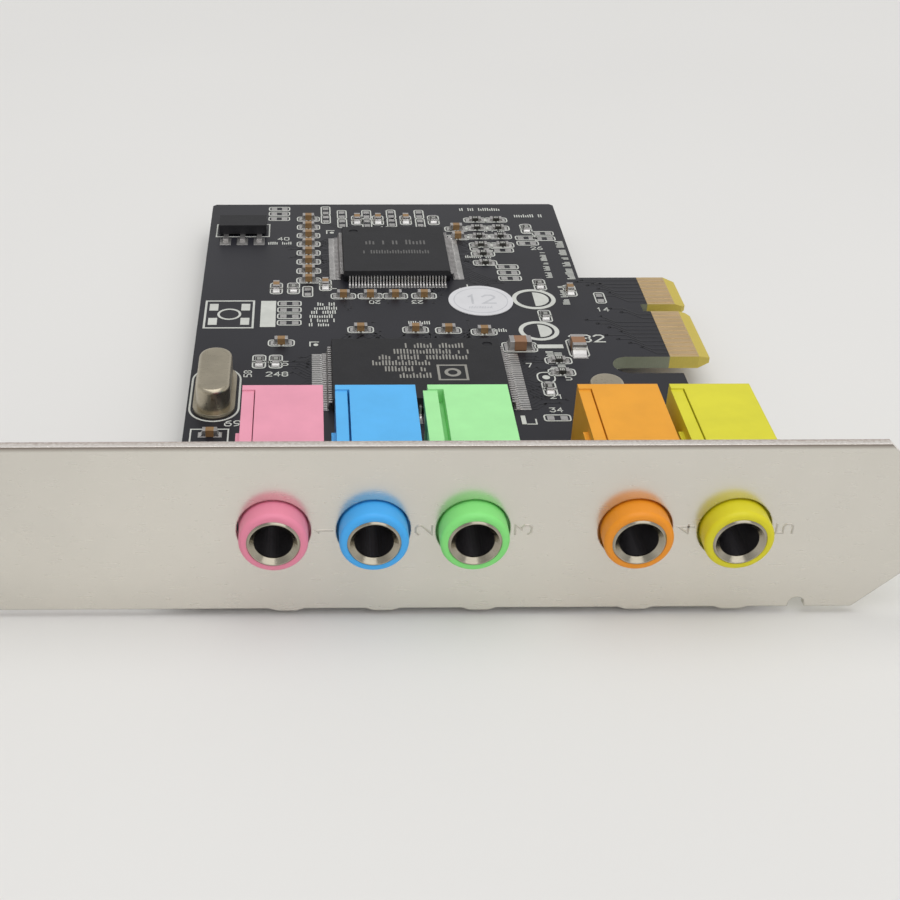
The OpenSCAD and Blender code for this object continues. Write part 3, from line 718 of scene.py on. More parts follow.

# Each jack's moulding colour, and the deeper colour painted on its barrel as shade.
HOUSING_COLOURS: dict[str, tuple[Colour, Colour]] = {
    "pink": (linear(236, 158, 180), linear(236, 140, 166)),
    "blue": (linear(90, 184, 246), linear(72, 176, 248)),
    "green": (linear(170, 240, 166), linear(138, 232, 130)),
    "orange": (linear(238, 164, 44), linear(240, 150, 34)),
    "yellow": (linear(222, 216, 50), linear(222, 212, 34)),
}
NODE_FINISHES: dict[Finish, tuple[str, ...]] = {
    SheetSteel("bracket_steel", linear(226, 222, 213), 0.255): ("bracket",),
    PlatedMetal("zinc_screw", (0.58, 0.58, 0.57), 0.3): ("bracket_screws",),
    SolderMask("black_mask", linear(32, 32, 38), 0.36): ("circuit_board",),
    PlatedMetal("finger_gold", linear(220, 192, 150), 0.4, shade=0.9): ("edge_contacts",),
    **{
        MouldedPlastic(f"{shade}_moulding", body, 0.45, shaded_barrel=shaded_barrel): (f"{shade}_jack_housing",)
        for shade, (body, shaded_barrel) in HOUSING_COLOURS.items()
    },
    # The bushing's turned bore carries the painted shade of bore_shade.
    PlatedMetal("nickel_bushing", (0.42, 0.385, 0.31), 0.2, turned=0.16): tuple(
        f"{shade}_jack_bushing" for shade in JACKS
    ),
    PlatedMetal("tinned_spring", (0.66, 0.65, 0.62), 0.28): tuple(
        f"{shade}_jack_contacts" for shade in JACKS
    ),
    ChipMould("chip_mould", linear(30, 30, 33), 0.5): (
        "audio_chip_body", "bridge_chip_body", "regulator_body",
    ),
    PlatedMetal("matt_tin", (0.56, 0.545, 0.54), 0.42): (
        "audio_chip_leads", "bridge_chip_leads", "regulator_leads",
        "ceramic_capacitor_ends", "large_capacitor_ends", "chip_resistor_ends",
    ),
    PlatedMetal("drawn_can", (0.50, 0.45, 0.35), 0.33, line_size=0.14): tuple(
        name + part for name in CRYSTALS for part in ("_can", "_base")
    ),
    PlainCoat("tan_ceramic", linear(150, 118, 80), 0.5): ("ceramic_capacitors",),
    PlainCoat("brown_ceramic", linear(150, 112, 84), 0.5): ("large_capacitors",),
    PlainCoat("black_glaze", linear(58, 56, 53), 0.35): ("chip_resistors",),
    PlainCoat("label_paper", linear(214, 214, 217), 0.7, shade=0.95): ("round_label",),
    SOLDER: ("solder_joints",),
}


# Thin work on a plane

DIGIT_STROKES: dict[str, tuple[Point, ...]] = {
    "0": ((1, 0), (0, 1), (0, 5), (1, 6), (3, 6), (4, 5), (4, 1), (3, 0), (1, 0)),
    "1": ((1, 5), (2, 6), (2, 0)),
    "2": ((0, 5), (1, 6), (3, 6), (4, 5), (4, 4), (0, 0), (4, 0)),
    "3": ((0, 6), (4, 6), (2, 3.6), (3, 3.6), (4, 2.6), (4, 1), (3, 0), (1, 0), (0, 1)),
    "4": ((3, 0), (3, 6), (0, 2), (4, 2)),
    "5": ((4, 6), (0, 6), (0, 3.4), (3, 3.4), (4, 2.4), (4, 1), (3, 0), (0, 0)),
    "6": ((3.6, 6), (1.4, 5.2), (0, 2.6), (0, 1), (1, 0), (3, 0), (4, 1), (4, 2.4), (3, 3.4), (0.6, 3.2)),
    "7": ((0, 6), (4, 6), (1.6, 0)),
    "8": (
        (1, 3.2), (0, 4.2), (0, 5), (1, 6), (3, 6), (4, 5), (4, 4.2), (3, 3.2),
        (4, 2.2), (4, 1), (3, 0), (1, 0), (0, 1), (0, 2.2), (1, 3.2), (3, 3.2),
    ),
    "9": ((0.4, 0), (2.6, 0.8), (4, 3.4), (4, 5), (3, 6), (1, 6), (0, 5), (0, 3.6), (1, 2.6), (3.4, 2.8)),
}
DIGIT_WIDTH = 4.0
DIGIT_HEIGHT = 6.0
DIGIT_ADVANCE = 5.8


def placed(point: Point, centre: Point, turn: Turn) -> Point:
    """Turns a point about the origin of its plane and moves the origin to a centre.

    Args:
        point: The point.
        centre: Where the origin goes.
        turn: How far the point turns.

    Returns:
        The point's new place.
    """
    angle = math.radians(turn.value)
    cos, sin = math.cos(angle), math.sin(angle)
    return centre[0] + (point[0] * cos - point[1] * sin), centre[1] + (point[0] * sin + point[1] * cos)


def ring_points(
    centre: Point, radius: float, count: int, start: float = 0.0, stop: float = 360.0
) -> list[Point]:
    """Points along a circle or an arc of it.

    Args:
        centre: The circle's middle.
        radius: Its radius.
        count: How many points.
        start: Where the arc starts, in degrees.
        stop: Where it stops, in degrees.

    Returns:
        The points. A full circle doesn't repeat its first one.
    """
    steps = count if stop - start >= 360 else count - 1
    angles = [math.radians(start + (stop - start) * step / steps) for step in range(count)]
    return [(centre[0] + radius * math.cos(angle), centre[1] + radius * math.sin(angle)) for angle in angles]


class Relief:
    """Thin closed solids drawn on a plane, gathered into one mesh."""

    def __init__(self, name: str, plane: Matrix, thickness: float) -> None:
        """Starts an empty drawing.

        Args:
            name: The piece's name.
            plane: The plane's axes and origin, in metres. Its third axis is the way out.
            thickness: How far the solids stand off the plane, in millimetres.
        """
        self.name = name
        self.plane = plane
        self.thickness = thickness
        self.points: list[Place] = []
        self.faces: list[tuple[int, ...]] = []

    def shell(self, bottom: Sequence[Place], top: Sequence[Place]) -> None:
        """Adds a closed solid between two outlines.

        Args:
            bottom: The points of the lower outline, anticlockwise.
            top: The same number of points round the upper one.
        """
        first, count = len(self.points), len(bottom)
        self.points += [*bottom, *top]
        self.faces.append(tuple(first + index for index in reversed(range(count))))
        self.faces.append(tuple(first + count + index for index in range(count)))
        for index in range(count):
            after = (index + 1) % count
            self.faces.append((first + index, first + after, first + count + after, first + count + index))

    def plate(self, outline: Sequence[Point]) -> None:
        """Adds a flat plate with a convex outline, given anticlockwise."""
        self.shell([(u, v, 0) for u, v in outline], [(u, v, self.thickness) for u, v in outline])

    def box(self, low: Point, high: Point) -> None:
        """Adds a rectangular plate."""
        self.plate([low, (high[0], low[1]), high, (low[0], high[1])])

    def pad(self, centre: Point, half_u: float, half_v: float) -> None:
        """Adds a rectangular plate about its middle."""
        u, v = centre
        self.box((u - half_u, v - half_v), (u + half_u, v + half_v))

    def disc(self, centre: Point, radius: float, count: int = 20) -> None:
        """Adds a round plate."""
        self.plate(ring_points(centre, radius, count))

    def stroke(self, path: Sequence[Point], width: float, closed: bool = False) -> None:
        """Adds a line of even width with mitred corners.

        Args:
            path: The points of its middle line.
            width: Its width.
            closed: Whether its end joins its start.
        """
        count, first = len(path), len(self.points)
        for index, here in enumerate(path):
            before = path[index - 1] if closed or index else None
            after = path[(index + 1) % count] if closed or index < count - 1 else None
            ways = [
                Vector((b[0] - a[0], b[1] - a[1])).normalized()
                for a, b in ((before, here), (here, after))
                if a and b
            ]
            along = sum(ways, Vector((0, 0)))
            along = along.normalized() if along.length > 1e-6 else ways[0]
            across = Vector((-along[1], along[0]))
            lean = max(0.4, abs(across.dot(Vector((-ways[0][1], ways[0][0])))))
            reach = across * (width / 2 / lean)
            overrun = Vector((0, 0)) if len(ways) == 2 else along * (width / 2)
            centre = Vector(here) + (overrun if index else -overrun)
            for side, height in ((1, 0), (-1, 0), (-1, self.thickness), (1, self.thickness)):
                self.points.append((*(centre + side * reach), height))
        for index in range(count if closed else count - 1):
            here, there = first + 4 * index, first + 4 * ((index + 1) % count)
            for corner in range(4):
                after = (corner + 1) % 4
                self.faces.append((here + corner, here + after, there + after, there + corner))
        if not closed:
            last = first + 4 * (count - 1)
            self.faces += [(first + 3, first + 2, first + 1, first), (last, last + 1, last + 2, last + 3)]

    def circle(self, centre: Point, radius: float, width: float, count: int = 20) -> None:
        """Adds a ring."""
        self.stroke(ring_points(centre, radius, count), width, closed=True)

    def frame(self, low: Point, high: Point, width: float, corner: float = 0.0) -> None:
        """Adds the outline of a rectangle.

        Args:
            low: Its lower left corner.
            high: Its upper right corner.
            width: The line's width.
            corner: Radius of its rounded corners, or 0 for sharp ones.
        """
        path = [low, (high[0], low[1]), high, (low[0], high[1])]
        if corner:
            path = []
            for u, v, start in (
                (high[0] - corner, high[1] - corner, 0), (low[0] + corner, high[1] - corner, 90),
                (low[0] + corner, low[1] + corner, 180), (high[0] - corner, low[1] + corner, 270),
            ):
                path += ring_points((u, v), corner, 4, start, start + 90)
        self.stroke(path, width, closed=True)

    def number(
        self, text: str, centre: Point, height: float, turn: Turn = Turn.ALONG, weight: float = 0.14
    ) -> None:
        """Adds a number in plain strokes.

        Args:
            text: Its digits.
            centre: Its middle.
            height: The digits' height.
            turn: Which way it reads.
            weight: The strokes' width, as a share of the height.
        """
        scale = height / DIGIT_HEIGHT
        start = -(DIGIT_ADVANCE * len(text) - (DIGIT_ADVANCE - DIGIT_WIDTH)) / 2
        for index, digit in enumerate(text):
            at = start + DIGIT_ADVANCE * index
            path = [((at + u) * scale, (v - DIGIT_HEIGHT / 2) * scale) for u, v in DIGIT_STROKES[digit]]
            self.stroke([placed(point, centre, turn) for point in path], weight * height)

    def row(
        self, start: Point, length: float, height: float, draw: random.Random, turn: Turn = Turn.ALONG
    ) -> None:
        """Adds a row of small upright bars in place of a line of writing.

        Args:
            start: The middle of the row's first bar.
            length: The row's length.
            height: The bars' greatest height.
            draw: Where the bars' sizes are drawn from.
            turn: Which way the row runs.
        """
        at = 0.0
        while at < length:
            tall = height * draw.choice((0.6, 0.8, 1.0, 1.0))
            ends = ((at, -0.5 * height), (at, tall - 0.5 * height))
            self.stroke([placed(end, start, turn) for end in ends], 0.2 * height)
            at += height * (0.4 if draw.random() < 0.88 else 1.1)

    def finish(self, slot: Slot, material: Material) -> None:
        """Makes the mesh, and lets it ride on the card.

        Args:
            slot: Not used.
            material: Its finish.
        """
        mesh = bpy.data.meshes.new(self.name)
        mesh.from_pydata([self.plane @ (Vector(point) * MM) for point in self.points], [], self.faces)
        work = bmesh.new()
        work.from_mesh(mesh)
        bmesh.ops.recalc_face_normals(work, faces=work.faces)
        work.to_mesh(mesh)
        work.free()
        mesh.materials.append(material)
        piece = bpy.data.objects.new(self.name, mesh)
        bpy.context.scene.collection.objects.link(piece)
        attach(piece, BODY)
        LOG.info("%s: %d faces", self.name, len(mesh.polygons))


# The card


@dataclass(frozen=True)
class Block:
    """The box of one solid of a CAD node, in millimetres."""

    low: Vector
    high: Vector

    @property
    def centre(self) -> Vector:
        """Its middle."""
        return (self.low + self.high) / 2

    @property
    def size(self) -> Vector:
        """Its size along each axis."""
        return self.high - self.low

    def holds(self, point: Point, margin: float) -> bool:
        """Whether a point of the board lies in it or within margin of it."""
        return all(self.low[i] - margin < point[i] < self.high[i] + margin for i in range(2))

    def outline(self, room_x: float, room_y: float) -> tuple[Point, Point]:
        """Its lower and upper corners on the board, with room on each side."""
        return (self.low.x - room_x, self.low.y - room_y), (self.high.x + room_x, self.high.y + room_y)


def board_axis(way: Vector) -> Vector:
    """The board axis that way points along most, with its sign.

    Args:
        way: A direction.

    Returns:
        A vector of length 1 on the board.
    """
    axis = 0 if abs(way.x) > abs(way.y) else 1
    out = Vector((0, 0))
    out[axis] = math.copysign(1, way[axis])
    return out


def solids_of(node: bpy.types.Object) -> list[Block]:
    """Finds the separate solids of a CAD node.

    Args:
        node: The node, whose mesh isn't changed.

    Returns:
        A box for each solid, in a fixed order.
    """
    keys = [tuple(round(value * 1e7) for value in vertex.co) for vertex in node.data.vertices]
    parent = {key: key for key in keys}

    def root(key: tuple[int, ...]) -> tuple[int, ...]:
        """The key that stands for all that a key is joined to."""
        while parent[key] != key:
            parent[key] = parent[parent[key]]
            key = parent[key]
        return key

    for polygon in node.data.polygons:
        first = root(keys[polygon.vertices[0]])
        for index in polygon.vertices[1:]:
            parent[root(keys[index])] = first
    found: dict[tuple[int, ...], list[tuple[int, ...]]] = {}
    for key in sorted(set(keys)):
        found.setdefault(root(key), []).append(key)
    blocks = [
        Block(*(Vector([end(key[axis] for key in group) / 1e4 for axis in range(3)]) for end in (min, max)))
        for group in found.values()
    ]
    return sorted(blocks, key=lambda block: tuple(round(value, 3) for value in block.low))


@dataclass(frozen=True)
class Land:
    """A soldered end: where its metal stands and which way is out from its part."""

    metal: Block
    way: Vector

    @property
    def axis(self) -> int:
        """The axis that it points along: 0 for X and 1 for Y."""
        return 0 if self.way.x else 1


@dataclass(frozen=True)
class Spare:
    """The place of a two-ended part that isn't fitted.

    Attributes:
        centre: Its middle on the board.
        turn: Which way it lies.
        pad: Side of each of its lands.
        reach: Distance from its middle to the middle of a land.
    """

    centre: Point
    turn: Turn = Turn.ALONG
    pad: float = 0.8
    reach: float = 0.75

    def end(self, side: int) -> Point:
        """The middle of the land on one side, 1 or -1."""
        return placed((side * self.reach, 0), self.centre, self.turn)


def spare_column(
    x: float, start: float, count: int, turn: Turn = Turn.ALONG, step: float = 1.72
) -> list[Spare]:
    """A column of spare places, from start towards the board's far edge."""
    return [Spare((x, start + step * index), turn) for index in range(count)]


SPARES: tuple[Spare, ...] = (
    *spare_column(-3.3, 38.6, 6), *spare_column(3.3, 43.6, 2, Turn.UP, 2.9),
    *spare_column(5.6, 42.2, 2, Turn.UP, 3.0), *spare_column(9.1, 42.2, 2, Turn.UP, 3.0),
    *spare_column(12.6, 42.4, 2, Turn.UP, 2.9), *spare_column(16.6, 42.2, 2, Turn.UP, 3.0),
    *spare_column(-1.6, 12.4, 4), *spare_column(27.2, 24.6, 8), *spare_column(24.3, 32.0, 2),
    *spare_column(30.9, 35.4, 4), *spare_column(33.4, 36.9, 3),
    Spare((0.7, 20.9), Turn.UP), Spare((-0.6, 24.8)), Spare((28.75, -3.8)), Spare((28.3, -10.2)),
    Spare((38.0, 18.9), Turn.UP),
)


@dataclass
class Card:
    """What the CAD says about the card, in millimetres.

    Attributes:
        nodes: The CAD nodes by name.
        top: Height of the board's top face.
        under: Height of the board's underside.
        face: Place of the bracket's outer face along Y.
        spare_room: Least distance from a spare place to a part.
        lands: Every soldered end of the chip parts.
        leads: Every chip lead, by chip.
        parts: The boxes of everything that stands on the board.
        spares: The spare places that lie clear of every part.
    """

    nodes: dict[str, bpy.types.Object]
    top: float = 0.0
    under: float = 0.0
    face: float = -38.265
    spare_room: float = 0.6
    lands: list[Land] = field(default_factory=list)
    leads: dict[str, list[Land]] = field(default_factory=dict)
    parts: list[Block] = field(default_factory=list)
    spares: list[Spare] = field(default_factory=list)

    def measure(self) -> None:
        """Reads the sizes and places from the CAD nodes."""
        low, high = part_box("circuit_board")
        self.under, self.top = low.z / MM, high.z / MM
        for part in ("ceramic_capacitor", "large_capacitor", "chip_resistor"):
            middles = solids_of(self.nodes[part + "s"])
            self.parts += middles
            for end in solids_of(self.nodes[part + "_ends"]):
                middle = min(middles, key=lambda block: (block.centre - end.centre).length)
                self.lands.append(Land(end, board_axis(end.centre - middle.centre)))
                self.parts.append(end)
        for chip in CHIPS:
            body = self.block(chip + "_body")
            self.parts.append(body)
            self.leads[chip] = []
            for lead in solids_of(self.nodes[chip + "_leads"]):
                way = lead.centre - body.centre
                way[1 if lead.size.x > lead.size.y else 0] = 0
                self.leads[chip].append(Land(lead, board_axis(way)))
        names = [name + "_base" for name in CRYSTALS] + [shade + "_jack_housing" for shade in JACKS]
        for name in (*names, "regulator_body", "regulator_leads", "round_label"):
            self.parts.append(self.block(name))
        self.spares += [spare for spare in SPARES if self.clear(spare)]

    def clear(self, spare: Spare) -> bool:
        """Whether a spare place lies clear of every part.

        Args:
            spare: The place.

        Returns:
            True if nothing stands at its middle, on its lands or past them.
        """
        points = [spare.centre, *(spare.end(side * step) for side in (-1, 1) for step in (1, 2))]
        return not any(block.holds(point, self.spare_room) for block in self.parts for point in points)

    def block(self, name: str) -> Block:
        """The box of a whole CAD node, in millimetres."""
        low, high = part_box(name)
        return Block(low / MM, high / MM)

    def plane(self, face: Face) -> Matrix:
        """The plane of a face: its axes, with the third pointing out, and its origin.

        Args:
            face: Which face.

        Returns:
            The plane's matrix, in metres. The underside's second axis is -Y.
        """
        if face is Face.BOARD_TOP:
            return Matrix.Translation((0, 0, self.top * MM))
        if face is Face.BOARD_UNDER:
            return Matrix.Translation((0, 0, self.under * MM)) @ Matrix.Rotation(math.pi, 4, "X")
        return Matrix.Translation((0, self.face * MM, 0)) @ Matrix.Rotation(math.pi / 2, 4, "X")

    def lid(self, node: str) -> Matrix:
        """The plane of a node's top face."""
        return Matrix.Translation((0, 0, self.block(node).high.z * MM))


@dataclass
class Copper:
    """Etched copper under the mask: fan-outs of the chips, tracks of the finger, and vias.

    Attributes:
        track_w: Width of a track.
        finger_w: Width of a track at the edge connector.
        via_r: Radius of a via's land.
        ring_w: Width of the ring that shows of it.
        copper_t: How far masked copper stands off the board.
        bundle: How many neighbouring leads turn the same way.
        edge_room: Least distance from the board's edges.
        right_edge: Where the board ends on the connector's side, behind the finger.
        near_edge: How near to the bracket tracks run.
        last_bend: Place along Y past which the finger's tracks run straight.
        under_skip: How many vias apart a track on the underside ends.
        under_reach: Greatest length of such a track.
    """

    card: Card
    track_w: float = 0.16
    finger_w: float = 0.28
    via_r: float = 0.24
    ring_w: float = 0.14
    copper_t: float = 0.02
    bundle: int = 7
    edge_room: float = 0.8
    right_edge: float = 36.2
    near_edge: float = -22.5
    last_bend: float = 23.6
    under_skip: int = 8
    under_reach: float = 22.0
    vias: list[Point] = field(default_factory=list)

    def free(self, path: Sequence[Point], margin: float = 0.25) -> bool:
        """Whether a track stays on the board and clear of everything that stands on it.

        Args:
            path: The track's points.
            margin: Least distance from a part.

        Returns:
            True if the track can lie there and its last point can have a via.
        """
        low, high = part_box("circuit_board")
        for u, v in path:
            if not (low.x / MM + self.edge_room < u < self.right_edge - self.edge_room):
                return False
            if not (self.near_edge < v < high.y / MM - self.edge_room):
                return False
            if any(block.holds((u, v), margin) for block in self.card.parts):
                return False
        return not any(math.dist(path[-1], via) < 2.4 * self.via_r for via in self.vias)

    def fan_out(self, drawing: Relief, chip: str, draw: random.Random) -> None:
        """Draws the tracks that leave one chip's leads.

        Args:
            drawing: The drawing that they go into.
            chip: The chip's name.
            draw: Where their lengths are drawn from.
        """
        for way in ((1, 0), (-1, 0), (0, 1), (0, -1)):
            side = [land for land in self.card.leads[chip] if tuple(land.way) == way]
            axis = 1 if way[0] else 0
            side.sort(key=lambda land: land.metal.centre[axis])
            for index, land in enumerate(side):
                number, place = divmod(index, self.bundle)
                lean = 1 if (number + (chip == "audio_chip")) % 2 else -1
                behind = place if lean < 0 else self.bundle - 1 - place
                start = land.metal.centre.xy + land.way * (land.metal.size[1 - axis] / 2 + 0.2)
                step = Vector((lean, 0)) if axis == 0 else Vector((0, lean))
                reach = 0.5 + 0.2 * behind
                slope = 0.9 + 0.5 * ((number * 7 + 3) % 4)
                tail = 0.4 + 0.8 * draw.randrange(4)
                for shorter in (1.0, 0.55, 0.25):
                    one = start + land.way * reach
                    two = one + (land.way + step) * (slope * shorter)
                    three = two + land.way * (tail * shorter)
                    path = [tuple(start), tuple(one), tuple(two), tuple(three)]
                    if self.free(path[1:]):
                        drawing.stroke(path, self.track_w)
                        self.vias.append(path[-1])
                        break

    def finger_tracks(self, drawing: Relief, side: int) -> None:
        """Draws the tracks that lead from the edge contacts into the board.

        Args:
            drawing: The drawing that they go into.
            side: 1 on the top face and -1 on the underside.
        """
        middle, slope = (self.card.top + self.card.under) / 2, 1.6
        contacts = solids_of(self.card.nodes["edge_contacts"])
        contacts = [block for block in contacts if (block.centre.z > middle) == (side > 0)]
        contacts.sort(key=lambda block: block.centre.y)
        for index, contact in enumerate(contacts):
            x, y = contact.low.x, contact.centre.y
            reach = 1.3 + 0.45 * (index % 9)
            end_x = x - reach - slope - 0.8 * (index % 4)
            path = [(x, y), (x - reach, y), (x - reach - slope, y + slope), (end_x, y + slope)]
            if y + slope > self.last_bend:
                path = [(x, y), (end_x, y)]
            path = [(u, side * v) for u, v in path]
            drawing.stroke(path, self.finger_w)
            if side > 0:
                self.vias.append(path[-1])

    def under_tracks(self, drawing: Relief) -> None:
        """Draws tracks on the underside, between vias that lie a few places apart."""
        vias = [via for via in self.vias if via[0] < 36]
        for index in range(0, len(vias) - self.under_skip, 3):
            (x0, y0), (x1, y1) = vias[index], vias[index + self.under_skip]
            run = min(abs(x1 - x0), abs(y1 - y0))
            if math.dist((x0, y0), (x1, y1)) > self.under_reach or run < 0.2:
                continue
            knee = (x0 + math.copysign(run, x1 - x0), y0 + math.copysign(run, y1 - y0))
            drawing.stroke([(x0, -y0), (knee[0], -knee[1]), (x1, -y1)], self.track_w)

    def build(self, mask: Material) -> None:
        """Builds the copper of both faces.

        Args:
            mask: The solder mask over it.
        """
        draw = random.Random(11)
        top = Relief("top_tracks", self.card.plane(Face.BOARD_TOP), self.copper_t)
        under = Relief("under_tracks", self.card.plane(Face.BOARD_UNDER), self.copper_t)
        for chip in CHIPS:
            self.fan_out(top, chip, draw)
        self.finger_tracks(top, 1)
        self.finger_tracks(under, -1)
        self.under_tracks(under)
        for u, v in self.vias:
            for drawing, place in ((top, (u, v)), (under, (u, -v))):
                drawing.circle(place, self.via_r - self.ring_w / 2, self.ring_w, 10)
        for drawing in (top, under):
            drawing.finish(Slot.LAMINATE, mask)


@dataclass
class SolderWork:
    """Tinned lands under every soldered end, and the solder that climbs up to it.

    Attributes:
        land_t: Thickness of a tinned land.
        overhang: How far a chip part's land runs past its end.
        large_overhang: The same for a large capacitor's end that faces the bracket.
        large_from: Length across its end from which a part counts as large.
        toe_overhang: How far a chip lead's land runs past its toe, by chip.
        toe_run: How far the solder reaches out from a lead's toe.
        toe_rise: How high it climbs there.
        foot: Length of a lead's foot with its heel's solder.
        regulator_pitch: Distance between the regulator's leads.
    """

    card: Card
    land_t: float = 0.03
    overhang: float = 0.5
    large_overhang: float = 1.2
    large_from: float = 1.3
    toe_overhang: dict[str, float] = field(
        default_factory=lambda: {"audio_chip": 1.25, "bridge_chip": 0.8}
    )
    toe_run: float = 0.35
    toe_rise: float = 0.14
    foot: float = 0.65
    regulator_pitch: float = 2.3

    def land(self, drawing: Relief, land: Land, back: float, out: float, grow: float) -> None:
        """Adds the land of one end.

        Args:
            drawing: The drawing that it goes into.
            land: The end.
            back: How far the land runs under the end, from its outer side.
            out: How far it runs past it.
            grow: How much wider it is than the end, on each side.
        """
        metal, way, axis = land.metal, land.way, land.axis
        half = metal.size[1 - axis] / 2 + grow
        tip = metal.centre[axis] + way[axis] * metal.size[axis] / 2
        low, high = [0.0, 0.0], [0.0, 0.0]
        low[axis], high[axis] = sorted((tip - way[axis] * back, tip + way[axis] * out))
        low[1 - axis], high[1 - axis] = metal.centre[1 - axis] - half, metal.centre[1 - axis] + half
        drawing.box(tuple(low), tuple(high))

    def fillet(self, drawing: Relief, land: Land, run: float, rise: float, grow: float) -> None:
        """Adds the solder that climbs one end, hollow-faced towards the board.

        Args:
            drawing: The drawing that it goes into.
            land: The end.
            run: How far it reaches out on the land.
            rise: How high it climbs.
            grow: How much wider it is than the end, on each side.
        """
        metal, way, axis = land.metal, land.way, land.axis
        half = metal.size[1 - axis] / 2 + grow
        tip = metal.centre[axis] + way[axis] * (metal.size[axis] / 2 - 0.01)
        profile = ((0, 0), (1, 0), (0.45, 0.22), (0.15, 0.6), (0, 1))
        rings = []
        for side in (-half, half):
            ring = []
            for out, up in profile:
                point = [0.0, 0.0, self.land_t + up * rise]
                point[axis] = tip + way[axis] * (out * run)
                point[1 - axis] = metal.centre[1 - axis] + side
                ring.append(tuple(point))
            rings.append(ring)
        drawing.shell(*rings)

    def regulator(self, drawing: Relief) -> None:
        """Adds the regulator's lands, past its three leads and its heat tab."""
        block = self.card.block("regulator_leads")
        x, pitch = block.centre.x, self.regulator_pitch
        for step in (-pitch, 0, pitch):
            drawing.box((x + step - 0.75, block.low.y - 1.2), (x + step + 0.75, block.low.y + 0.9))
        drawing.box((x - 2.2, block.high.y - 1.1), (x + 2.2, block.high.y + 1.1))

    def build(self, solder: Material) -> None:
        """Builds the lands and fillets of both faces.

        Args:
            solder: The solder's finish.
        """
        top = Relief("solder_lands", self.card.plane(Face.BOARD_TOP), self.land_t)
        for land in self.card.lands:
            across, deep = land.metal.size[1 - land.axis], land.metal.size[land.axis]
            large = across > self.large_from and land.way.y < 0
            out = self.large_overhang if large else self.overhang
            self.land(top, land, deep + 0.05, out, 0.1)
            self.fillet(top, land, 0.8 * out, 0.65 * land.metal.size.z, 0.02)
        for chip, leads in self.card.leads.items():
            for lead in leads:
                self.land(top, lead, self.foot, self.toe_overhang[chip], 0.06)
                self.fillet(top, lead, self.toe_run, self.toe_rise, 0.0)
        for spare in self.card.spares:
            for side in (-1, 1):
                top.pad(spare.end(side), spare.pad / 2, spare.pad / 2)
        self.regulator(top)
        top.finish(Slot.SOLDER, solder)
        under = Relief("under_lands", self.card.plane(Face.BOARD_UNDER), self.land_t)
        for joint in solids_of(self.card.nodes["solder_joints"]):
            under.circle((joint.centre.x, -joint.centre.y), joint.size.x / 2 - 0.05, 0.5, 24)
        under.finish(Slot.SOLDER, solder)


PRINTED_NUMBERS: tuple[tuple[str, Point, float, Turn], ...] = (
    *(
        (text, centre, height, Turn.ALONG)
        for text, centre, height in (
            ("69", (-7.6, -11.1), 1.05), ("125", (-2.9, 2.2), 0.95), ("248", (-2.9, -0.3), 0.95),
            ("182", (34.4, 8.1), 1.7), ("5", (30.9, -1.4), 0.95), ("21", (28.9, -5.6), 0.85),
            ("34", (28.4, -8.5), 0.85), ("7", (26.7, 1.6), 0.9), ("17", (11.6, 40.6), 0.9),
            ("26", (31.9, 33.8), 0.9), ("14", (37.8, 15.7), 0.9), ("40", (-2.6, 37.0), 0.9),
        )
    ),
    ("58", (-6.3, -0.2), 0.85, Turn.UP),
    ("20", (9.2, 17.9), 0.8, Turn.OVER),
    ("23", (14.6, 17.9), 0.8, Turn.OVER),
)
ROWS_UP: tuple[tuple[Point, float, float], ...] = (
    ((35.2, 24.4), 11.6, 0.9), ((33.5, 17.2), 5.4, 0.75), ((32.4, 24.8), 7.6, 0.7),
    ((29.5, -0.1), 5.0, 0.75), ((30.5, 0.4), 4.4, 0.75),
)
ROWS_ALONG: tuple[tuple[Point, float, float], ...] = (
    ((22.6, 46.9), 6.2, 0.8), ((30.2, 44.6), 4.2, 0.8), ((25.4, 39.6), 3.2, 0.7),
    ((22.0, 31.2), 3.4, 0.7), ((13.2, 12.3), 2.6, 0.7), ((21.9, 10.3), 3.2, 0.7),
    ((-4.6, 35.6), 3.2, 0.7), ((0.9, 11.9), 2.4, 0.75), ((1.1, 13.0), 3.0, 0.75),
    ((1.0, 14.1), 3.4, 0.75), ((1.2, 15.2), 3.0, 0.75), ((1.6, 16.3), 2.8, 0.75),
    ((2.0, 17.4), 2.2, 0.75),
)


